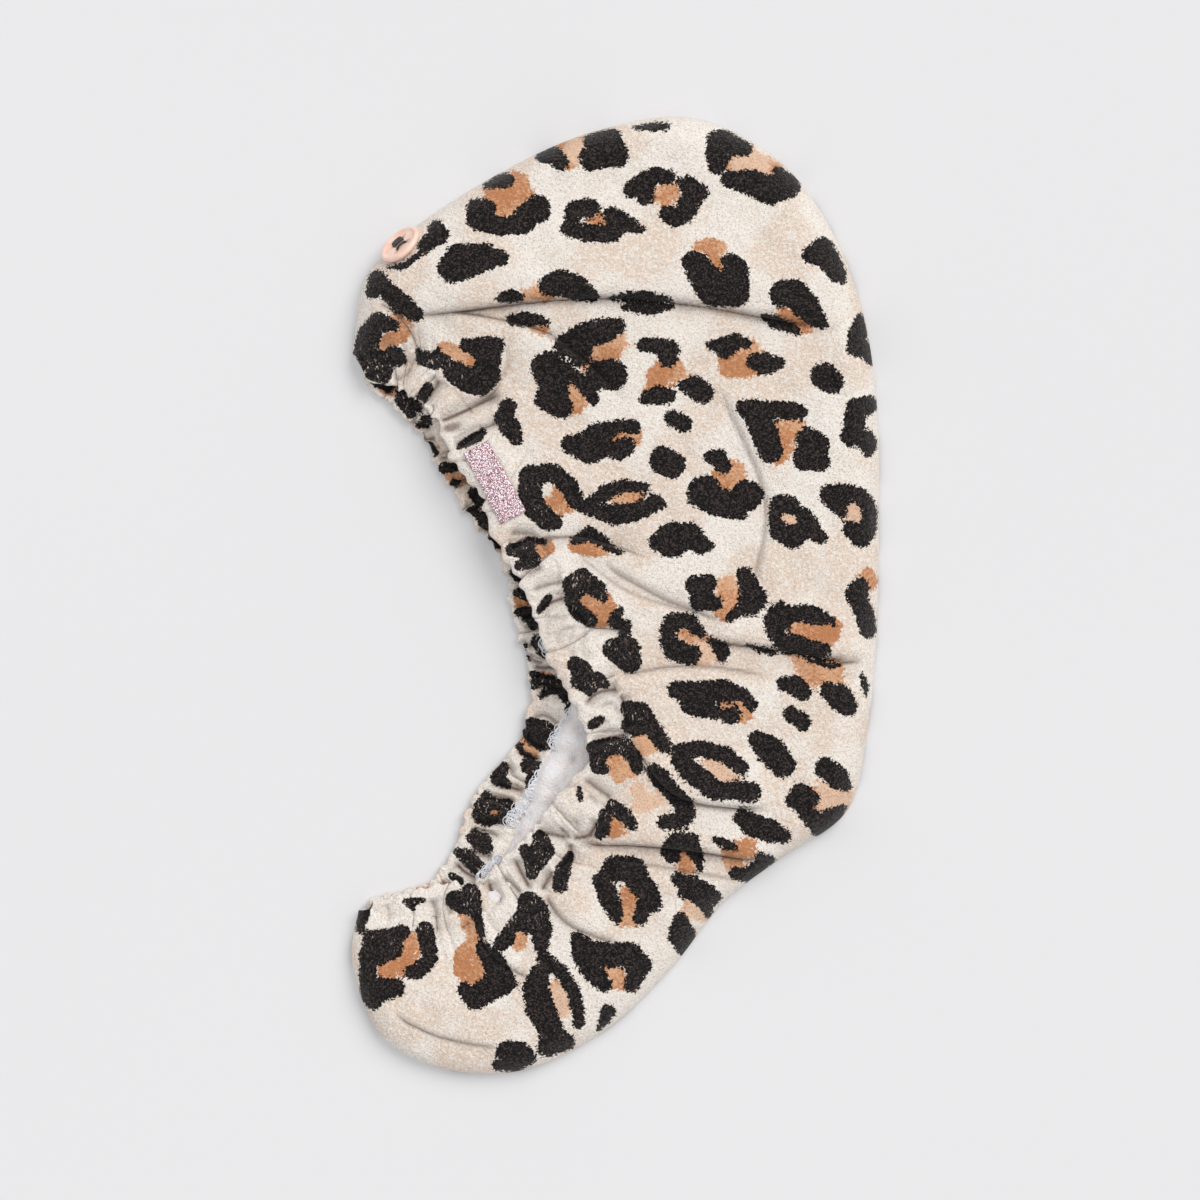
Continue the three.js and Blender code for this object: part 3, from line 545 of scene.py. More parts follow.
VALLEY_SIDE = 3.6  # how far from a valley's bottom its side has risen by two thirds
VALLEY_REACH = 11  # how far from its line a valley is worked out
VALLEY_FADE = 0.16  # the share of a valley's length over which each end runs out
VALLEY_DEEPER = 2.3  # how many times deeper a valley is than its table says
CREASE_WIDTH = 1.05  # half the width of the painted shade line at the bottom of a valley
CREASE_SHADE = 2.6  # how far the soft painted shade beside that line has faded by two thirds
SOFT_SHARE = 0.42  # the soft painted shade's share of a valley's painted darkness
FULL_CREASE = 3.0  # a valley that its table gives this depth has the darkest painted shade line


def grooved(points, rows):
    """How deep the valleys are at each point, as the camera sees them, and the painted shade at their
    bottoms.
    """
    x, y = place(*seen_at(points))
    depth = np.zeros(x.shape)
    crease = np.zeros(x.shape)
    for row in rows:
        line = fold_line(row)
        low = line.min(axis=0) - VALLEY_REACH
        high = line.max(axis=0) + VALLEY_REACH
        near = (x > low[0]) & (x < high[0]) & (y > low[1]) & (y < high[1])
        away, end, _ = nearest_on(line, x[near], y[near])
        fade = fading_ends(end, VALLEY_FADE)
        here = row[6] * VALLEY_DEEPER * fade * np.exp(-np.abs(away) / VALLEY_SIDE)
        depth[near] = np.maximum(depth[near], here)
        # painted shade along the bottom of each valley
        sharp = bell(away, CREASE_WIDTH)
        soft = np.exp(-np.abs(away) / CREASE_SHADE)
        dark = min(row[6] / FULL_CREASE, 1) * fade * ((1 - SOFT_SHARE) * sharp + SOFT_SHARE * soft)
        crease[near] = np.maximum(crease[near], dark)
    return depth, crease


def pleat_ridge(turns, flat=0.0):
    """A row of round pleats: 1 on top of each, and the root of flat in the narrow valley between two."""
    off_top = 2 * (turns - np.round(turns))
    return np.sqrt(np.maximum(1 - off_top**2, flat))


PLEAT_DEPTH = 0.42  # of the small pleats between the charted valleys, as a share of the casing's half depth
PLEAT_SLANT = 0.28  # how far a pleat runs askew across its casing, in pleats
PLEAT_BOW = 0.2  # how far it bows there
PLEAT_UNEVEN = 0.35  # how much the pleats differ in depth
WRINKLE_DEPTH = 0.22
WRINKLES = 2.37  # to a pleat
WRINKLE_DRIFT = 0.4
WRINKLE_SLANT = 0.5
CASING_SWELL = 1.14  # how far a casing's top stands proud, as a share of its half depth
LEVEL_RUN = 8  # how far into the panel the rolls of its casing run on


def casing_pleats(u, across, phase):
    """The small pleats of a casing: their ridge, their valleys and how hollow they leave it."""
    slant = PLEAT_SLANT * wander(u, length=0.06, seed=21) * across
    bow = PLEAT_BOW * wander(u, length=0.05, seed=22) * across**2
    turns = pleat_turns(u, phase) + slant + bow
    ridge = pleat_ridge(turns)
    pleat = (1 - ridge) * (1 + PLEAT_UNEVEN * wander(u, length=0.035, seed=24))
    drift = WRINKLE_DRIFT * wander(u, length=0.06, seed=25)
    wrinkle = 1 - pleat_ridge(turns * WRINKLES + drift + WRINKLE_SLANT * across)
    return ridge, pleat, PLEAT_DEPTH * pleat + WRINKLE_DEPTH * wrinkle


# Lumps all over the upper panel: height, length and seed.
LUMPS = ((0.55, 34, 5), (0.22, 13, 6))
CREASES_FROM = 0.12  # the share of the way to the seam by which the creases have their full height
CREASES_END = 12  # how far from the seam their lean and their painted dark line start to fade
PUCKER = {"height": 0.35, "length": 0.012, "reach": 5}  # small puckers along the seam

# The pleats that run on from the upper casing into its panel. Lengths are from the stitch line.
RUN_HEIGHT = 3.0
RUN_BELOW = 0.7  # the share of a pleat's height that lies below the plain cloth
RUN_VALLEY = 0.05  # how flat the valley between two pleats is
RUN_PEAK = 6  # where a pleat is highest
RUN_START = 0.25  # how far on the way to that it is at the stitch line
RUN_LENGTH = {"middle": 24, "change": 12, "least": 9}
RUN_DRIFT = {"pleats": 0.25, "length": 60, "from": 40}
RUN_APART = 3  # from where on they no longer lie level with the casing
SMALL_RUN = {"height": 0.5, "width": 0.42, "length": 14}  # small pleats between them
TAIL = {"from": 0.83, "change": 0.07, "loss": 0.6}  # where along u the pleats get lower, and by which share

# How high the panel joins its casing, as shares of the casing's half depth.
JOIN_SHARE = 0.95
JOIN_DIP = {"share": 0.1, "width": 1.5}  # the dip that the stitches draw in
FULL_HEM = 15  # a hem of this width has its full pleats


def upper_surface(u, t):
    """The middle of the upper panel's cloth, and the painted shade of its creases and valleys."""
    out = towards_mouth(near_stitch, u)
    stitch = near_stitch(u) - GAP * out
    edge = outline(u)
    width = np.hypot(*np.moveaxis((stitch - edge)[..., :2], -1, 0)) - CLOTH / 2
    edge = edge + (stitch - edge) * (CLOTH / 2 / width)[..., None]
    edge[..., 2] = 0
    p = stitch + (edge - stitch) * t[..., None]
    x = p[..., 0]
    y = p[..., 1]
    away = t * width
    to_seam = (1 - t) * width
    inwards = np.minimum(to_seam / np.minimum(EDGE_ROUND, width), 1)
    rounded = round_edge(inwards)
    clear = smooth(t / CREASES_FROM)

    height, shift, dark = creased(x, y, FOLDS)
    lumps = sum(high * waves(x, y, length, seed) for high, length, seed in LUMPS)
    plain = stitch[..., 2] + (crown(u)[..., 0] - stitch[..., 2]) * smooth(t / CROWN_SHARE)

    drift = RUN_DRIFT["pleats"] * wander(away, RUN_DRIFT["length"], seed=8)
    turns = pleat_turns(u, PHASE["upper"]) + drift * smooth(away / RUN_DRIFT["from"])
    run = RUN_LENGTH["middle"] + RUN_LENGTH["change"] * wander(u, 2 / PLEATS, seed=9)
    fading = bell(away, np.maximum(run, RUN_LENGTH["least"]))
    pleats = (pleat_ridge(turns, RUN_VALLEY) - RUN_BELOW) * RUN_HEIGHT
    pleats = pleats * hump(away / RUN_PEAK + RUN_START) * fading
    minor = SMALL_RUN["height"] * waves(turns, 0 * turns, SMALL_RUN["width"], seed=10)
    minor = minor * np.exp(-away / SMALL_RUN["length"])
    left = 1 - TAIL["loss"] * smooth((u - TAIL["from"]) / TAIL["change"])
    apart = 1 - bell(away, RUN_APART)
    _, _, hollow = casing_pleats(u, -1.0, PHASE["upper"])
    share = JOIN_SHARE - JOIN_DIP["share"] * bell(away, JOIN_DIP["width"])
    share = share - smooth(near_hem(u)[..., 0] / FULL_HEM) * hollow
    level = CASING_SWELL * hem_depth(u)[..., 0] / 2 * share - CLOTH / 2
    level = level * bell(away, LEVEL_RUN)
    full = plain + (height + lumps) * clear + (pleats * left + minor) * apart + level
    p[..., 2] = full
    depth, crease = grooved(p, UPPER_VALLEYS)
    full = full - depth

    pucker = PUCKER["height"] * wander(u, PUCKER["length"], seed=11) * np.exp(-to_seam / PUCKER["reach"])
    seam = SEAM["height"] + CLOTH / 2 + GAP
    p[..., 2] = seam + (full - seam) * rounded + pucker * inwards
    inside = smooth(to_seam / CREASES_END)
    p[..., :2] += shift * (clear * inside)[..., None]
    return p, np.maximum(crease, dark * inside)


# The lower panel's pleats, small pleats and slack, in millimetres from its stitch line.
LOW_PLEATS = {"height": 1.7, "lift": 0.35, "valley": 0.1, "peak": 7, "fading": 26, "drift": 0.3, "length": 50}
LOW_SMALL = {"height": 0.35, "width": 0.3, "peak": 5}
SLACK = {"height": 9.5, "peak": 16, "start": 0.42, "rising": 0.12, "end": 0.84, "falling": 0.1}
FLAT_AT_SEAM = 20  # how far from the seam these start to fade
REVERSE_WRINKLE_SHADE = 0.35  # how dark the painted shade in a wrinkle of the plain reverse is


def lower_surface(u, t):
    """The middle of the lower panel's cloth, flat on the table but for its two edges and its slack, and the
    painted shade of its wrinkles.
    """
    widths = far_hem(u)[..., 0]
    out = towards_mouth(far_lip, u)
    stitch = far_lip(u) - (widths + GAP)[..., None] * out
    edge = outline(u)
    width = np.hypot(*np.moveaxis((stitch - edge)[..., :2], -1, 0))
    p = stitch + (edge - stitch) * t[..., None]
    away = t * width
    flat = CLOTH / 2
    hem_rise = (hem_depth(u)[..., 0] / 2 - flat) * (1 - smooth(away / HEM_RISE))
    seam_rise = (SEAM["height"] - flat) * (1 - smooth((1 - t) * width / SEAM["turn_up"]))
    drift = LOW_PLEATS["drift"] * wander(away, LOW_PLEATS["length"], seed=18)
    turns = pleat_turns(u, PHASE["lower"]) + drift
    fading = np.exp(-away / LOW_PLEATS["fading"])
    pleats = LOW_PLEATS["height"] * (LOW_PLEATS["lift"] + pleat_ridge(turns, LOW_PLEATS["valley"]))
    pleats = pleats * hump(away / LOW_PLEATS["peak"]) * fading
    minor = LOW_SMALL["height"] * (1 + waves(turns, 0 * turns, LOW_SMALL["width"], seed=19))
    minor = minor * hump(away / LOW_SMALL["peak"]) * fading
    slack = SLACK["height"] * hump(away / SLACK["peak"]) * smooth((u - SLACK["start"]) / SLACK["rising"])
    slack = slack * smooth((SLACK["end"] - u) / SLACK["falling"])
    loose = (pleats + minor + slack) * smooth((1 - t) * width / FLAT_AT_SEAM)
    p[..., 2] = flat + np.maximum(hem_rise, seam_rise) + loose
    wrinkles, crease = grooved(p, REVERSE_WRINKLES)
    p[..., 2] = np.maximum(p[..., 2] - wrinkles, flat)
    return p, REVERSE_WRINKLE_SHADE * crease


def normals_of(p):
    """Unit normals of a grid of points, on the side from which its first axis turns left to its second."""
    normal = np.cross(np.gradient(p, axis=0), np.gradient(p, axis=1))
    return normal / np.maximum(np.linalg.norm(normal, axis=-1, keepdims=True), 1e-9)


def grid_faces(ids, flip=False):
    quads = np.stack([ids[:-1, :-1], ids[1:, :-1], ids[1:, 1:], ids[:-1, 1:]], axis=-1).reshape(-1, 4)
    return quads[:, ::-1] if flip else quads


def rim_of(ids):
    """The border of a grid of ids, once round."""
    return np.concatenate([ids[:-1, 0], ids[-1, :-1], ids[:0:-1, -1], ids[0, :0:-1]])


def double_cloth(face, lining):
    """A closed sheet: a fine grid of points, and a coarser one under it that it meets at the rims."""
    ids = np.arange(face[..., 0].size).reshape(face.shape[:2])
    under = ids.size + np.arange(lining[..., 0].size).reshape(lining.shape[:2])
    points = np.concatenate([face.reshape(-1, 3), lining.reshape(-1, 3)])
    faces = [list(q) for q in grid_faces(ids)] + [list(q) for q in grid_faces(under, flip=True)]
    fine = rim_of(ids)
    coarse = rim_of(under)
    ratio = len(fine) // len(coarse)
    for m, here in enumerate(coarse):
        ahead = coarse[(m + 1) % len(coarse)]
        middle = m * ratio + ratio // 2
        faces.append([fine[middle], here, ahead])
        for s in range(ratio):
            a = fine[m * ratio + s]
            b = fine[(m * ratio + s + 1) % len(fine)]
            faces.append([b, a, here if s < ratio // 2 else ahead])
    return points, faces


def put(name, data):
    """A new object in the scene."""
    thing = bpy.data.objects.new(name, data)
    bpy.context.scene.collection.objects.link(thing)
    return thing


def make_mesh(name, points, faces, material, node=None, slot=None, fields=None):
    """A piece of the towel from points in millimetres, which rides on the body and stands for a solid."""
    mesh = bpy.data.meshes.new(name)
    mesh.from_pydata((np.asarray(points) * MM).tolist(), [], [[int(i) for i in f] for f in faces])
    mesh.polygons.foreach_set("use_smooth", [True] * len(mesh.polygons))
    for field, values in (fields or {}).items():
        mesh.attributes.new(field, "FLOAT", "POINT").data.foreach_set("value", values.astype(np.float32))
    mesh.materials.append(material)
    piece = put(name, mesh)
    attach(piece, "root")
    if node:
        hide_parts(node)
    return piece


FAR_FROM_MARKS = 60.0  # pixels, for cloth that has no marks
MARK_REACH = FAR_FROM_MARKS / 3  # how far round a mark its distance is worked out
INK_SPREAD = 8.0  # strokes closer than half of this, in pixels, run into one another


def brush_distance(marks, x, y):
    """How far each pixel is from the painted marks, in pixels, and negative inside them."""
    nearest = np.full(x.shape, FAR_FROM_MARKS)
    for mark in marks:
        xs = mark[::3]
        ys = mark[1::3]
        near = (x > min(xs) - MARK_REACH) & (x < max(xs) + MARK_REACH)
        near = near & (y > min(ys) - MARK_REACH) & (y < max(ys) + MARK_REACH)
        this = np.full(near.sum(), FAR_FROM_MARKS)
        stroke = list(zip(xs, ys, mark[2::3]))
        for (ax, ay, ar), (bx, by, br) in zip(stroke, stroke[1:] or stroke):
            dx = x[near] - ax
            dy = y[near] - ay
            length = (bx - ax) ** 2 + (by - ay) ** 2
            share = np.clip((dx * (bx - ax) + dy * (by - ay)) / max(length, 1e-9), 0, 1)
            away = np.hypot(dx - share * (bx - ax), dy - share * (by - ay)) - (ar + share * (br - ar))
            this = np.minimum(this, away)
        overlap = np.maximum(INK_SPREAD - np.abs(nearest[near] - this), 0)
        nearest[near] = np.minimum(nearest[near], this) - overlap**2 / (4 * INK_SPREAD)
    return nearest


TAN_UNDER = 1.0  # how far the tan runs on under the black, in pixels
WINDOW_UNDER = 3.0  # and under the black round a tan window
SLIVER = 7.0  # cloth between tan and black that is narrower than this is tan
PALE_EDGE = 6  # how soft the edge of a pale spot is, in pixels


def print_fields(points, black, tan, over=()):
    """The distances to the black and the tan marks at each point, with tan windows over the black."""
    x, y = seen_at(points)
    dark = brush_distance(black, x, y)
    brown = brush_distance(tan, x, y) - TAN_UNDER
    brown = np.minimum(brown, (brown + np.maximum(dark, 0) - SLIVER) / 2)
    if over:
        window = brush_distance(over, x, y)
        dark = np.maximum(dark, -window)
        brown = np.minimum(brown, window - WINDOW_UNDER)
    return {"black": dark, "tan": brown, "pale": smooth(0.5 - brush_distance(PALE_TAN, x, y) / PALE_EDGE)}


UNDERSIDE = {"left": 330, "right": 900, "top": 90, "bottom": 1110}
RING_SHARE = 0.6  # of the marks there, those that are rings
ASIDE = 9  # how far a mark may lie from its place in the rows
TAN_LENGTH = 5


def spread_marks(seed, spacing):
    """Marks for cloth that the photograph doesn't show: broken rings and spots, like those that it shows."""
    draw = np.random.default_rng(seed)
    black = []
    tan = []
    for row, y in enumerate(np.arange(UNDERSIDE["top"], UNDERSIDE["bottom"], spacing)):
        for x in np.arange(UNDERSIDE["left"] + (row % 2) * spacing / 2, UNDERSIDE["right"], spacing):
            cx = x + draw.uniform(-ASIDE, ASIDE)
            cy = y + draw.uniform(-ASIDE, ASIDE)
            ring = draw.uniform() < RING_SHARE
            turn = draw.uniform(0, 2 * math.pi)
            if not ring:
                far = draw.uniform(5, 11)
                one = (cx, cy, draw.uniform(9, 12))
                other = (cx + far * math.cos(turn), cy + far * math.sin(turn), draw.uniform(8, 11))
                black.append(one + other)
                continue
            wide = draw.uniform(15, 19)
            tall = wide * draw.uniform(0.7, 0.9)
            end = (cx + TAN_LENGTH * math.cos(turn), cy + TAN_LENGTH * math.sin(turn), wide * 0.4)
            tan.append((cx, cy, wide * 0.5) + end)
            parts = int(draw.integers(2, 4))
            for k in range(parts):
                start = turn + 2 * math.pi * k / parts
                sweep = 2 * math.pi / parts * draw.uniform(0.55, 0.8)
                stroke = ()
                for angle in start + sweep * np.array([0, 0.5, 1]):
                    end = (cx + wide * math.cos(angle), cy + tall * math.sin(angle))
                    stroke += (*end, draw.uniform(6.5, 10))
                black.append(stroke)
    return black, tan


CLOSER = 0.12  # how far the rows of a panel are moved towards its two edges
LINING_ROOM = 1.8  # how far the lining is let down where the cloth turns steeply
ROOM_FROM = 6  # how far from the panel's edges that starts
ROOM_RISE = 8
STRETCH_REACH = 22  # how far from the stitch line the gathered pile has calmed by two thirds


def side_spacing(x):
    """Even steps from 0 to 1, brought closer together at both ends."""
    return x - CLOSER * np.sin(2 * math.pi * x)


def half_thickness(distance):
    """Half the cloth's thickness at a distance from its edge, which is round."""
    return CLOTH / 2 * round_edge(np.clip(distance / (CLOTH / 2), 0, 1), least=0.01)


def panel(name, surface, columns, rows, ratio, print_up, marks, material, slot):
    """A panel of cloth, printed on its upper or its lower side and with its plain reverse on the other."""
    across = side_spacing(np.linspace(0, 1, rows + 1))
    u, t = np.meshgrid(np.linspace(0, 1, columns + 1), across, indexing="ij")
    middle, crease = surface(u, t)
    step = np.linalg.norm(np.diff(middle, axis=1), axis=-1)
    along = np.concatenate([np.zeros((columns + 1, 1)), np.cumsum(step, axis=1)], axis=1)
    half = half_thickness(np.minimum(along + CLOTH / 2, along[:, -1:] - along))[..., None]
    normal = normals_of(middle)
    thin = slice(None, None, ratio)
    coarse = middle[thin, thin]
    coarse_normal = normals_of(coarse)
    coarse_half = half[thin, thin]
    from_edge = np.minimum(along, along[:, -1:] - along)[thin, thin]
    room = LINING_ROOM * smooth((from_edge - ROOM_FROM) / ROOM_RISE) * (1 - np.abs(coarse_normal[..., 2]))
    if print_up:
        face = middle + normal * half
        lining = coarse - coarse_normal * coarse_half
        lining[..., 2] -= room
        points, faces = double_cloth(face, lining)
    else:
        face = middle - normal * half
        lining = coarse + coarse_normal * coarse_half
        points, faces = double_cloth(face, lining)
        faces = [f[::-1] for f in faces]
    fields = print_fields(face.reshape(-1, 3), *marks)
    plain = np.full(lining[..., 0].size, FAR_FROM_MARKS)
    fields = {key: np.concatenate([values, plain]) for key, values in fields.items()}
    fields["reverse"] = np.concatenate([np.zeros(face[..., 0].size), np.ones(lining[..., 0].size)])
    fields["stretch"] = np.exp(-np.concatenate([along.ravel(), along[thin, thin].ravel()]) / STRETCH_REACH)
    # the painted shade of the creases and valleys, for the material
    fields["crease"] = np.concatenate([crease.ravel(), crease[thin, thin].ravel()])
    return make_mesh(name, points, faces, material, name.replace("_cloth", ""), slot, fields)


CASING_GRID = (1080, 40)  # along the casing and round it
LIP_PULL = 1.1  # how far a valley pulls in the casing's lip, as a share of its depth
PLEAT_PULL = 1.4  # how far a small pleat does
MOST_PULL = 3.2
LIP_WAVES = 0.9  # how far the lip runs in and out between the valleys
CASING_ENDS = 0.85  # how full the casing's two sides are: 1 is round, and less is squarer
CASING_OVERLAP = 0.2  # how far the casing's middle is moved towards the lip
CASING_WIDER = 2.2  # how far its sides stand out past its width
BLUNT = {"lip": 0.8, "stitch": 0.6}  # how square the top is at the lip, and how much squarer at the stitches
ROLL_LEAN = {"middle": 1.3, "change": 1.1}  # how far the rolls lean along the casing
GROOVE_SPREAD = 0.6  # how far down the sides a valley reaches: less is further
DEEPEST = 1.5  # of a valley, as a share of the casing's half depth
UNDER_SHARE = 0.3  # of the top's hollows, what shows below
CASING_STRETCH = 0.9
PLEAT_VALLEY_SHADE = 0.75  # how dark the painted shade in the deepest of the small pleats is


def hem_tube(name, node, line, width_at, height_at, phase, valleys, marks, material, slot):
    """A gathered casing: a puffy tube whose rolls are parted by narrow valleys and lean on one another."""
    columns, sides = CASING_GRID
    u, angle = np.meshgrid(
        np.linspace(0, 1, columns + 1), np.linspace(0, 2 * math.pi, sides, endpoint=False), indexing="ij"
    )
    out = towards_mouth(line, u)
    along = np.stack([out[..., 1], -out[..., 0], np.zeros(u.shape)], axis=-1)
    stitch = line(u)
    width = width_at(u)[..., 0]
    depth = hem_depth(u)[..., 0]
    across = -np.cos(angle)
    up = np.sin(angle)
    full = smooth(width / FULL_HEM)

    ridge, pleat, hollow = casing_pleats(u, across, phase)
    hollow = full * hollow

    ends = np.sign(across) * np.abs(across) ** CASING_ENDS
    reach = width / 2 + CASING_OVERLAP + (width / 2 + CASING_WIDER * full) * ends
    blunt = BLUNT["lip"] - BLUNT["stitch"] * smooth(-across)
    top = depth / 2 * np.abs(up) ** blunt
    lean = ROLL_LEAN["middle"] + ROLL_LEAN["change"] * wander(u, length=0.09, seed=27)
    lean = full * lean * (ridge - 0.5)
    plain = stitch + out * reach[..., None] + along * lean[..., None]
    plain[..., 2] = height_at(u) + np.where(up > 0, top, -top)
    groove, crease = grooved(plain, valleys)
    at_lip = np.where(across > 0, across, 0) ** 2
    plain = plain - out * (full * LIP_WAVES * wander(u, length=0.022, seed=28) * at_lip)[..., None]
    pull = MOST_PULL * np.tanh((groove * LIP_PULL + full * pleat * PLEAT_PULL) / MOST_PULL)
    p = plain - out * (pull * at_lip)[..., None]
    sunk = np.minimum(top * hollow + groove * np.abs(up) ** (GROOVE_SPREAD * blunt), DEEPEST * top)
    rise = np.where(up > 0, top * CASING_SWELL - sunk, -top + UNDER_SHARE * np.minimum(sunk, top))
    p[..., 2] = np.maximum(height_at(u) + rise, 0)

    ids = np.arange(p[..., 0].size).reshape(u.shape)
    ring = np.concatenate([ids, ids[:, :1]], axis=1)
    faces = [list(q) for q in grid_faces(ring)]
    faces.append(list(ids[0]))
    faces.append(list(ids[-1, ::-1]))
    fields = print_fields(p.reshape(-1, 3), *marks)
    fields["reverse"] = np.zeros(p[..., 0].size)
    fields["stretch"] = np.full(p[..., 0].size, CASING_STRETCH)
    # painted shade in the charted valleys and in the small pleats' valleys
    fields["crease"] = np.maximum(crease, PLEAT_VALLEY_SHADE * full * np.minimum(pleat, 1) ** 3).ravel()
    return make_mesh(name, p.reshape(-1, 3), faces, material, node, slot, fields)


def new_material(name, **shader):
    """A material with its own shader, whose sockets are set by name."""
    material = bpy.data.materials.new(name)
    material.use_nodes = True
    principled = material.node_tree.nodes["Principled BSDF"]
    for socket, value in shader.items():
        principled.inputs[socket.replace("_", " ")].default_value = value
    return material


class Nodes:
    """Short calls that add nodes to a material and link them."""

    def __init__(self, material):
        self.tree = material.node_tree
        self.shader = self.tree.nodes["Principled BSDF"]

    def add(self, kind, inputs=None, **settings):
        node = self.tree.nodes.new(kind)
        for key, value in settings.items():
            setattr(node, key, value)
        for key, value in (inputs or {}).items():
            if isinstance(value, bpy.types.NodeSocket):
                self.tree.links.new(value, node.inputs[key])
            else:
                node.inputs[key].default_value = value
        return node

    def link(self, source, socket):
        self.tree.links.new(source, self.shader.inputs[socket])

    def place(self, stretch=(1, 1, 1), turn=0.0):
        where = self.add("ShaderNodeTexCoord").outputs["Object"]
        rotated = {"Vector": where, "Scale": stretch, "Rotation": (0, 0, turn)}
        return self.add("ShaderNodeMapping", rotated).outputs["Vector"]

    def noise(self, size, detail=2.0, vector=None, roughness=0.5):
        """Noise from 0 to 1 whose lumps are size millimetres across."""
        inputs = {
            "Vector": vector or self.place(),
            "Scale": 1 / (size * MM),
            "Detail": detail,
            "Roughness": roughness,
        }
        return self.add("ShaderNodeTexNoise", inputs).outputs["Fac"]

    def field(self, name):
        return self.add("ShaderNodeAttribute", attribute_name=name).outputs["Fac"]

    def math(self, operation, a, b):
        return self.add("ShaderNodeMath", {0: a, 1: b}, operation=operation).outputs[0]

    def times(self, a, b):
        return self.math("MULTIPLY", a, b)

    def plus(self, a, b):
        return self.math("ADD", a, b)

    def centred(self, value, reach):
        """A value from 0 to 1, as one from minus to plus half of reach."""
        return self.times(self.math("SUBTRACT", value, 0.5), reach)

    def ramp(self, value, low, high, start=0.0, end=1.0):
        """A smooth step from start at low to end at high."""
        inputs = {"Value": value, "From Min": low, "From Max": high, "To Min": start, "To Max": end}
        node = self.add("ShaderNodeMapRange", inputs, interpolation_type="SMOOTHSTEP")
        return node.outputs["Result"]

    def mix(self, share, a, b, blend="MIX"):
        node = self.add("ShaderNodeMix", data_type="RGBA", blend_type=blend)
        for socket, value in ((node.inputs[0], share), (node.inputs[6], a), (node.inputs[7], b)):
            if isinstance(value, bpy.types.NodeSocket):
                self.tree.links.new(value, socket)
            else:
                socket.default_value = value
        return node.outputs[2]

    def bump(self, height, distance, strength=1.0, normal=None):
        inputs = {"Height": height, "Distance": distance * MM, "Strength": strength}
        if normal:
            inputs["Normal"] = normal
        return self.add("ShaderNodeBump", inputs).outputs["Normal"]


CREAM = srgb(0.965, 0.915, 0.86)
IVORY = srgb(0.982, 0.948, 0.912)
BEIGE = srgb(0.92, 0.825, 0.745)
TAN = srgb(0.785, 0.535, 0.365)
TAN_LIGHT = srgb(0.90, 0.705, 0.56)
TAN_FIBRE = srgb(0.60, 0.385, 0.25)
TAN_PALE = srgb(0.965, 0.845, 0.745)
BLACK = srgb(0.05, 0.044, 0.046)
BLACK_FIBRE = srgb(0.30, 0.258, 0.246)
# painted shade, multiplied into the colour in creases and valleys
PAINTED_SHADE_TINT = srgb(0.36, 0.255, 0.215)
REVERSE = srgb(0.985, 0.975, 0.985)
REVERSE_WARM = srgb(0.975, 0.945, 0.935)
PILE_TIP = srgb(1.0, 0.99, 0.97)
PILE_SHADE = srgb(0.82, 0.73, 0.65)
BARE_THREAD = srgb(0.86, 0.80, 0.75)  # what shows where the gathered pile opens
LABEL_PINK = (srgb(0.38, 0.20, 0.25), srgb(0.80, 0.61, 0.66))
LABEL_SPARK = srgb(1.0, 0.97, 0.98)
PEACH = (srgb(1.0, 0.80, 0.72), srgb(1.0, 0.87, 0.80))
DARK_THREAD = (srgb(0.13, 0.1, 0.1), srgb(0.05, 0.04, 0.04))
WHITE_THREAD = (srgb(0.97, 0.97, 0.98), srgb(0.86, 0.87, 0.9))
FLOOR_GREY = (srgb(0.896, 0.896, 0.902), srgb(0.902, 0.902, 0.908))
RAGGED = 9.0  # how wide the print's edge is broken up by the pile, in pixels
TEETH = 8.0  # and by single fibres


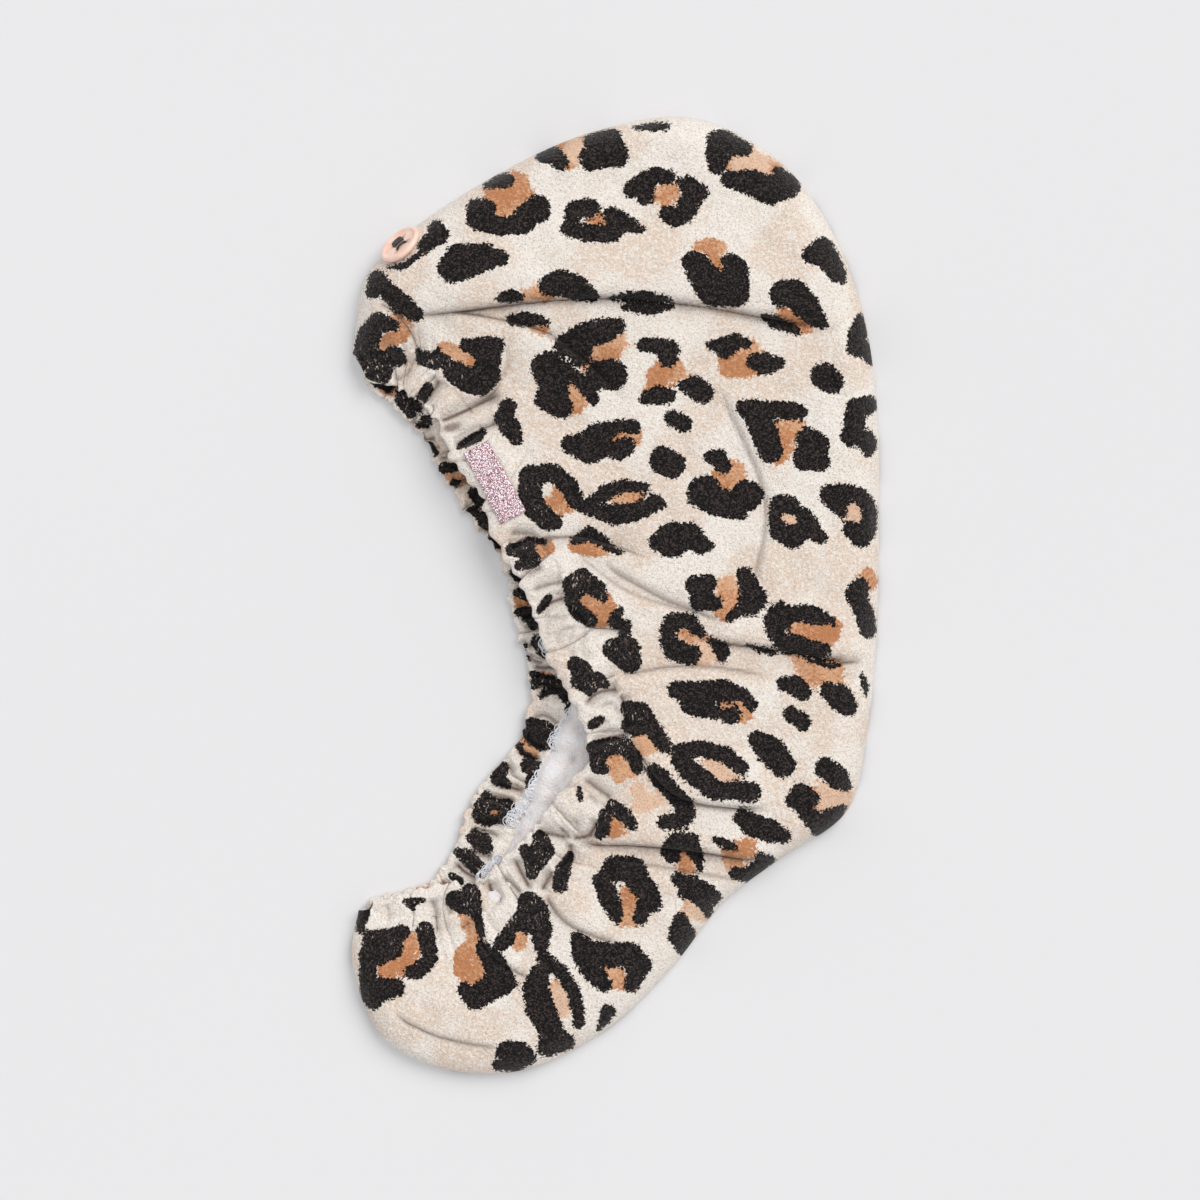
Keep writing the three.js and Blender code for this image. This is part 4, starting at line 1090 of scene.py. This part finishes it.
def plush_material(name):
    """Short-pile microfibre: clouds of beige on cream, the print with its ragged pile edge, the grain, and
    painted shade in the creases and valleys.
    """
    material = new_material(
        name, Roughness=0.95, Sheen_Weight=0.15, Sheen_Roughness=0.45, Specular_IOR_Level=0.2
    )
    n = Nodes(material)
    pile = n.noise(size=1.5, detail=3.0, roughness=0.7)
    tufts = n.noise(size=4.5, detail=2.0)
    grain = n.noise(size=0.85, detail=2.0, roughness=0.7)

    clouds = n.ramp(n.noise(size=34, detail=1.5), 0.45, 0.60)
    veil = n.ramp(n.noise(size=15, detail=2.0), 0.4, 0.7)
    base = n.mix(n.times(veil, 0.45), IVORY, CREAM)
    base = n.mix(n.times(clouds, 0.8), base, BEIGE)
    base = n.mix(n.ramp(pile, 0.44, 0.60, 0.0, 0.7), base, PILE_TIP)
    base = n.mix(n.ramp(grain, 0.51, 0.64, 0.0, 0.7), base, PILE_SHADE)

    ragged = n.centred(n.noise(size=1.5, detail=2.0, roughness=0.6), RAGGED)
    teeth = n.centred(grain, TEETH)
    calm = n.ramp(n.field("stretch"), 0.2, 0.9, 1.0, 0.55)
    edge = n.times(n.plus(ragged, teeth), calm)

    broad = n.noise(size=26, detail=1.0)
    tan_share = n.plus(n.times(pile, 0.5), n.times(broad, 0.5))
    tan_colour = n.mix(n.ramp(tan_share, 0.44, 0.58), TAN, TAN_LIGHT)
    tan_colour = n.mix(n.times(n.field("pale"), 0.75), tan_colour, TAN_PALE)
    tan_colour = n.mix(n.ramp(grain, 0.50, 0.62, 0.0, 0.4), tan_colour, TAN_FIBRE)
    is_tan = n.ramp(n.plus(n.field("tan"), edge), -0.8, 0.9, 1.0, 0.0)
    colour = n.mix(is_tan, base, tan_colour)

    fibre = n.ramp(n.plus(n.times(grain, 0.6), n.times(pile, 0.4)), 0.47, 0.62)
    black_colour = n.mix(fibre, BLACK, BLACK_FIBRE)
    brushed = n.place(stretch=(1.0, 0.35, 1.0), turn=0.5)
    strokes = n.noise(size=0.9, detail=2.0, vector=brushed, roughness=0.6)
    gaps = n.times(n.ramp(strokes, 0.60, 0.66), n.ramp(n.field("stretch"), 0.3, 0.9))
    patches = n.ramp(n.noise(size=6.0, detail=1.0), 0.5, 0.6)
    black_colour = n.mix(n.times(gaps, patches), black_colour, BARE_THREAD)
    is_black = n.ramp(n.plus(n.field("black"), edge), -0.45, 0.45, 1.0, 0.0)
    colour = n.mix(is_black, colour, black_colour)

    back = n.mix(n.ramp(tufts, 0.35, 0.65), REVERSE, REVERSE_WARM)
    colour = n.mix(n.field("reverse"), colour, back)
    # painted shade: darkens the colour in creases and valleys with the shade tint
    colour = n.mix(n.times(n.field("crease"), 0.95), colour, PAINTED_SHADE_TINT, "MULTIPLY")
    n.link(colour, "Base Color")

    soft = n.bump(tufts, distance=1.0, strength=0.7)
    fine = n.plus(pile, n.times(grain, 0.5))
    n.link(n.bump(fine, distance=1.1, strength=1.0, normal=soft), "Normal")
    return material


def label_material():
    """Woven ribbon with a glittering pink fleck."""
    material = new_material("label_weave", Roughness=0.45, Sheen_Weight=0.1, Metallic=0.15)
    n = Nodes(material)
    fleck = n.noise(size=0.56, detail=1.0, roughness=0.8)
    spark = n.noise(size=0.62, detail=1.0, vector=n.place(turn=0.7))
    colour = n.mix(n.ramp(fleck, 0.48, 0.515), *LABEL_PINK)
    colour = n.mix(n.ramp(spark, 0.52, 0.555), colour, LABEL_SPARK)
    n.link(colour, "Base Color")
    n.link(n.bump(fleck, distance=0.25, strength=0.8), "Normal")
    return material


def button_material():
    """Peach-coloured plastic with a faint pearl cloud."""
    material = new_material(
        "button_peach", Roughness=0.32, Coat_Weight=0.25, Coat_Roughness=0.2, Subsurface_Weight=0.08,
        Subsurface_Radius=(0.004, 0.002, 0.0015),
    )
    n = Nodes(material)
    cloud = n.noise(size=5, detail=2.0)
    colour = n.mix(n.ramp(cloud, 0.3, 0.7), *PEACH)
    n.link(colour, "Base Color")
    n.link(n.bump(n.noise(size=0.8, detail=2.0), distance=0.02, strength=0.5), "Normal")
    return material


def thread_material(name, colour, dark):
    material = new_material(name, Roughness=0.8, Sheen_Weight=0.3)
    n = Nodes(material)
    n.link(n.mix(n.ramp(n.noise(size=0.6, detail=2.0), 0.35, 0.65), colour, dark), "Base Color")
    twist = n.noise(size=0.3, detail=1.0, vector=n.place(stretch=(1, 1, 4)))
    n.link(n.bump(twist, distance=0.05, strength=0.6), "Normal")
    return material


def floor_material():
    material = new_material("pale_floor", Roughness=0.9)
    n = Nodes(material)
    n.link(n.mix(n.noise(size=400, detail=1.0), *FLOOR_GREY), "Base Color")
    return material


LABEL = {"length": 38, "width": 13.4, "thickness": 0.8, "x": 496, "y": 484, "top": 23.3, "turn": -61.7}
LABEL_GRID = (76, 26)
LABEL_SAG = {"along": 0.7, "across": 0.25}
LABEL_RIPPLES = {"long": 0.16, "short": 0.1}
LABEL_SKEW = 0.12
LABEL_EDGE = 0.6  # how far in its edges are round
BUTTON = {"radius": 10.9, "thickness": 3, "rim": 2.2, "dish": 0.8, "hole": 1.3, "hole_offset": 2.6}
BUTTON_SEAT = {"x": 402.6, "y": 248.6, "height": 16.6, "lean": 57, "turn": 133}
BUTTON_SEGMENTS = 72
HOLE_SEGMENTS = 24
EDGE_STEPS = 12
SLOPE_STEPS = 8
# Shares of the button's sizes: the flat back and the dish's middle of the radius, the round edge of half the
# thickness, the slope of the rim, and the dish's depth at its middle and its centre.
HALF_SECTION = {"back": 0.8, "edge": 0.9, "slope": 0.7, "middle": 0.35, "low": 1.05, "lowest": 1.1}


def label_piece(material):
    """A woven ribbon that follows the two pleats under it a little, with round edges."""
    columns, rows = LABEL_GRID
    a, b = np.meshgrid(np.linspace(-1, 1, columns + 1), np.linspace(-1, 1, rows + 1), indexing="ij")
    x = a * LABEL["length"] / 2
    y = b * LABEL["width"] / 2
    sag = -LABEL_SAG["along"] * a**2 - LABEL_SAG["across"] * b**2
    sag = sag + LABEL_RIPPLES["long"] * np.sin(2.4 * a + 1.7 * b)
    sag = sag + LABEL_RIPPLES["short"] * np.cos(6.5 * a + 0.8 * b)
    y = y + LABEL_SKEW * np.sin(3 * a) * b
    turn = math.radians(LABEL["turn"])
    centre = place(LABEL["x"], LABEL["y"])
    top = np.stack([
        centre[0] + x * math.cos(turn) - y * math.sin(turn),
        centre[1] + x * math.sin(turn) + y * math.cos(turn),
        LABEL["top"] - LABEL["thickness"] / 2 + sag,
    ], axis=-1)
    edge = np.minimum((1 - np.abs(a)) * LABEL["length"] / 2, (1 - np.abs(b)) * LABEL["width"] / 2)
    half = LABEL["thickness"] / 2 * round_edge(np.clip(edge / LABEL_EDGE, 0, 1), least=0.04)
    up = normals_of(top) * half[..., None]
    points, faces = double_cloth(top + up, (top - up)[::2, ::2])
    return make_mesh("label_ribbon", points, faces, material, "label", "woven_label")


def turned(points):
    """The button's own points, brought to where it leans on the towel's front."""
    lean = math.radians(BUTTON_SEAT["lean"])
    turn = math.radians(BUTTON_SEAT["turn"])
    x, y, z = np.moveaxis(np.asarray(points, float), -1, 0)
    x, z = x * math.cos(lean) + z * math.sin(lean), z * math.cos(lean) - x * math.sin(lean)
    x, y = x * math.cos(turn) - y * math.sin(turn), x * math.sin(turn) + y * math.cos(turn)
    seat = place(BUTTON_SEAT["x"], BUTTON_SEAT["y"])
    return np.stack([x + seat[0], y + seat[1], z + BUTTON_SEAT["height"]], axis=-1)


def button_profile():
    """The button's half section from the middle of its back round to the middle of its dish."""
    radius = BUTTON["radius"]
    half = BUTTON["thickness"] / 2
    rim = BUTTON["rim"]
    dish = BUTTON["dish"]
    edge = half * HALF_SECTION["edge"]
    points = [(0, -half), (radius * HALF_SECTION["back"], -half)]
    for k in range(EDGE_STEPS + 1):
        angle = math.pi * (k / EDGE_STEPS - 0.5)
        points.append((radius - edge + edge * math.cos(angle), half * math.sin(angle)))
    for k in range(1, SLOPE_STEPS + 1):
        share = k / SLOPE_STEPS
        drop = dish * (1 - math.cos(math.pi * share)) / 2
        points.append((radius - edge - rim * HALF_SECTION["slope"] * share, half - drop))
    points.append((radius * HALF_SECTION["middle"], half - dish * HALF_SECTION["low"]))
    points.append((0, half - dish * HALF_SECTION["lowest"]))
    return points


def button_piece(material):
    """A turned four-hole button."""
    segments = BUTTON_SEGMENTS
    build = bmesh.new()
    rings = []
    for radius, z in button_profile():
        if radius == 0:
            rings.append([build.verts.new((0, 0, z))])
            continue
        angles = [2 * math.pi * k / segments for k in range(segments)]
        rings.append([build.verts.new((radius * math.cos(a), radius * math.sin(a), z)) for a in angles])
    for low, high in zip(rings, rings[1:]):
        for k in range(segments):
            ahead = (k + 1) % segments
            corners = [low[k % len(low)], low[ahead % len(low)], high[ahead % len(high)], high[k % len(high)]]
            build.faces.new(list(dict.fromkeys(corners)))
    blank = bpy.data.meshes.new("button_blank")
    build.to_mesh(blank)
    build.free()

    drills = bmesh.new()
    for k in range(4):
        angle = math.pi / 4 + k * math.pi / 2
        made = bmesh.ops.create_cone(
            drills, cap_ends=True, segments=HOLE_SEGMENTS, radius1=BUTTON["hole"], radius2=BUTTON["hole"],
            depth=BUTTON["thickness"] * 2,
        )
        offset = BUTTON["hole_offset"] * math.sqrt(2)
        for vert in made["verts"]:
            vert.co.x += offset * math.cos(angle)
            vert.co.y += offset * math.sin(angle)
    drill_mesh = bpy.data.meshes.new("button_drills")
    drills.to_mesh(drill_mesh)
    drills.free()

    disc = put("button_blank", blank)
    tool = put("button_drills", drill_mesh)
    cut = disc.modifiers.new("holes", "BOOLEAN")
    cut.operation = "DIFFERENCE"
    cut.object = tool
    cut.solver = "EXACT"
    bpy.context.view_layer.update()
    result = disc.evaluated_get(bpy.context.evaluated_depsgraph_get()).to_mesh()
    points = turned([v.co[:] for v in result.vertices])
    faces = [list(f.vertices) for f in result.polygons]
    for spare in (disc, tool):
        bpy.data.objects.remove(spare)
    return make_mesh("button_disc", points, faces, material, "button", "button_plastic")


def tube(path, radius, sides):
    """A thin round thread along points, as vertices and faces."""
    path = np.asarray(path, float)
    way = np.gradient(path, axis=0)
    way /= np.maximum(np.linalg.norm(way, axis=1, keepdims=True), 1e-9)
    across = np.cross(way, np.where(np.abs(way[:, 2:3]) > 0.9, [1.0, 0, 0], [0, 0, 1.0]))
    across /= np.linalg.norm(across, axis=1, keepdims=True)
    third = np.cross(way, across)
    angle = np.linspace(0, 2 * math.pi, sides, endpoint=False)
    ring = np.cos(angle)[None, :, None] * across[:, None] + np.sin(angle)[None, :, None] * third[:, None]
    points = path[:, None] + radius * ring
    ids = np.arange(len(path) * sides).reshape(len(path), sides)
    closed = np.concatenate([ids, ids[:, :1]], axis=1)
    faces = [list(q) for q in grid_faces(closed, flip=True)]
    faces.append([int(i) for i in ids[0]])
    faces.append([int(i) for i in ids[-1, ::-1]])
    return points.reshape(-1, 3), faces


def joined(parts):
    points = []
    faces = []
    for part_points, part_faces in parts:
        start = sum(len(p) for p in points)
        points.append(part_points)
        faces += [[int(i) + start for i in f] for f in part_faces]
    return np.concatenate(points), faces


# The button's stitches: the side of the middle on which a bundle lies, and where its strands lie across it.
BUNDLES = ((1, (-2.4, -1.8, -1.2, -0.6, 0, 0.6, 1.2, 1.8)), (-1, (-0.4, 0.4)))
STRAND = {"radius": 0.33, "sides": 6, "points": 13, "arch": 0.55, "sink": 1.4, "sink_from": 0.75}
PAST_HOLE = 0.6
OVER_DISH = 0.1


def button_threads(material):
    """The stitches that hold the button, across its dish: a thick bundle, and two strands apart."""
    offset = BUTTON["hole_offset"]
    dish_top = BUTTON["thickness"] / 2 - BUTTON["dish"]
    parts = []
    share = np.linspace(-1, 1, STRAND["points"])
    sink = STRAND["sink"] * smooth((np.abs(share) - STRAND["sink_from"]) / (1 - STRAND["sink_from"]))
    arch = STRAND["arch"] * np.cos(share * math.pi / 2) ** 0.5 - sink
    for side, strands in BUNDLES:
        for strand in strands:
            x = np.full(share.shape, side * offset + strand)
            path = np.stack([x, share * (offset + PAST_HOLE), dish_top + OVER_DISH + arch], axis=1)
            parts.append(tube(turned(path), STRAND["radius"], STRAND["sides"]))
    return make_mesh("button_threads", *joined(parts), material, slot="button_plastic")


# Where the overlocked raw edge of the lower casing shows, as runs between two pixels, with their height in
# millimetres and their loops.
OVERLOCK_RUNS = [
    # start x, y, end x, y, height, loops
    (545, 640, 557, 660, 8.5, 7),
    (582, 705, 571, 716, 7.5, 8),
    (566, 722, 552, 746, 7.5, 9),
    (549, 766, 529, 796, 7.5, 13),
    (525, 804, 510, 822, 7.5, 8),
    (502, 856, 482, 876, 8.0, 10),
]


LOOPS = {"strands": 4, "points": 14, "size": 1.6, "change": 0.8, "wider": 1.3, "aside": 1.2}
LOOPS_RISE = {"even": 0.5, "loose": 0.3}
LOOP_THREAD = {"radius": 0.22, "sides": 5}


def overlock(material):
    """Loose white loops of thread along the raw edge."""
    draw = np.random.default_rng(31)
    parts = []
    for x0, y0, x1, y1, height, loops in OVERLOCK_RUNS:
        start = np.array([*place(x0, y0), height])
        end = np.array([*place(x1, y1), height])
        way = end - start
        length = np.linalg.norm(way)
        along = way / length
        out = np.array([-along[1], along[0], 0])
        for strand in range(LOOPS["strands"]):
            turns = np.linspace(0, 2 * math.pi * loops, loops * LOOPS["points"])
            size = LOOPS["size"] + LOOPS["change"] * wander(turns, length=9, seed=40 + strand + int(x0))
            step = length / (2 * math.pi * loops)
            path = start + along * (turns * step)[:, None]
            path = path + along * (size * np.cos(turns + strand))[:, None]
            aside = draw.uniform(-LOOPS["aside"], LOOPS["aside"])
            path = path + out * (size * LOOPS["wider"] * np.sin(turns + strand) + aside)[:, None]
            path[:, 2] += LOOPS_RISE["even"] * np.cos(turns * 0.5 + strand)
            path[:, 2] += LOOPS_RISE["loose"] * wander(turns, length=4, seed=50 + int(y0))
            parts.append(tube(path, **LOOP_THREAD))
    return make_mesh("overlock_loops", *joined(parts), material, slot="gathered_plush")


def sun(name, towards, power, spread, colour):
    """Light from far off in one direction, softened over an angle of spread degrees."""
    lamp = bpy.data.lights.new(name, "SUN")
    lamp.energy = power
    lamp.angle = math.radians(spread)
    lamp.color = colour
    holder = put(name, lamp)
    holder.rotation_euler = Vector(towards).to_track_quat("-Z", "Y").to_euler()


# In metres.
FLOOR_HALF = 8.0
FLOOR_DROP = -0.0002
SKY = {"colour": (0.97, 0.98, 1.0, 1), "strength": 0.52}


def stage_and_lights():
    mesh = bpy.data.meshes.new("floor")
    corners = [(x * FLOOR_HALF, y * FLOOR_HALF, FLOOR_DROP) for x, y in ((-1, -1), (1, -1), (1, 1), (-1, 1))]
    mesh.from_pydata(corners, [], [(0, 1, 2, 3)])
    mesh.materials.append(floor_material())
    floor = put("floor", mesh)
    sun("key_light", towards=(-0.55, -0.62, -0.9), power=1.5, spread=40, colour=(1.0, 0.985, 0.96))
    sun("top_light", towards=(0.1, 0.0, -1), power=0.6, spread=30, colour=(1.0, 0.99, 0.985))
    world = bpy.data.worlds.new("studio")
    world.use_nodes = True
    background = world.node_tree.nodes["Background"]
    background.inputs["Color"].default_value = SKY["colour"]
    background.inputs["Strength"].default_value = SKY["strength"]
    bpy.context.scene.world = world
    bpy.context.scene.view_settings.view_transform = "Standard"


def camera():
    lens = bpy.data.cameras.new("camera")
    lens.sensor_fit = "HORIZONTAL"
    lens.angle = 2 * math.atan(VIEW_WIDTH / 2 / VIEW_HEIGHT)
    lens.clip_start = 0.05
    holder = put("camera", lens)
    holder.location = (*(value * MM for value in place(*VIEW_CENTRE)), VIEW_HEIGHT * MM)
    bpy.context.scene.camera = holder


camera()
stage_and_lights()
plush = plush_material("leopard_plush")
upper_marks = (BLACK_MARKS, TAN_MARKS, TAN_OVER_BLACK)
lower_marks = (LOWER_HEM_BLACK, LOWER_HEM_TAN)
under_marks = spread_marks(seed=3, spacing=62)

upper = panel(
    "upper_panel_cloth", upper_surface, columns=440, rows=160, ratio=2, print_up=True, marks=upper_marks,
    material=plush, slot="plush",
)
lower = panel(
    "lower_panel_cloth", lower_surface, columns=320, rows=96, ratio=2, print_up=False, marks=under_marks,
    material=plush, slot="plush",
)
upper_casing = hem_tube(
    "upper_hem_casing", "upper_hem", near_stitch, near_hem, lambda u: near_stitch(u)[..., 2], PHASE["upper"],
    UPPER_VALLEYS, upper_marks, plush, "gathered_plush",
)


def far_stitch(u):
    """The lower hem's stitch line, its width in from the lip."""
    line = far_lip(u) - far_hem(u) * towards_mouth(far_lip, u)
    line[..., 2] = 0
    return line


lower_casing = hem_tube(
    "lower_hem_casing", "lower_hem", far_stitch, far_hem, lambda u: hem_depth(u)[..., 0] / 2, PHASE["lower"],
    LOWER_VALLEYS, lower_marks, plush, "gathered_plush",
)
ribbon = label_piece(label_material())
button_piece(button_material())
button_threads(thread_material("button_thread", *DARK_THREAD))
loops = overlock(thread_material("overlock_thread", *WHITE_THREAD))
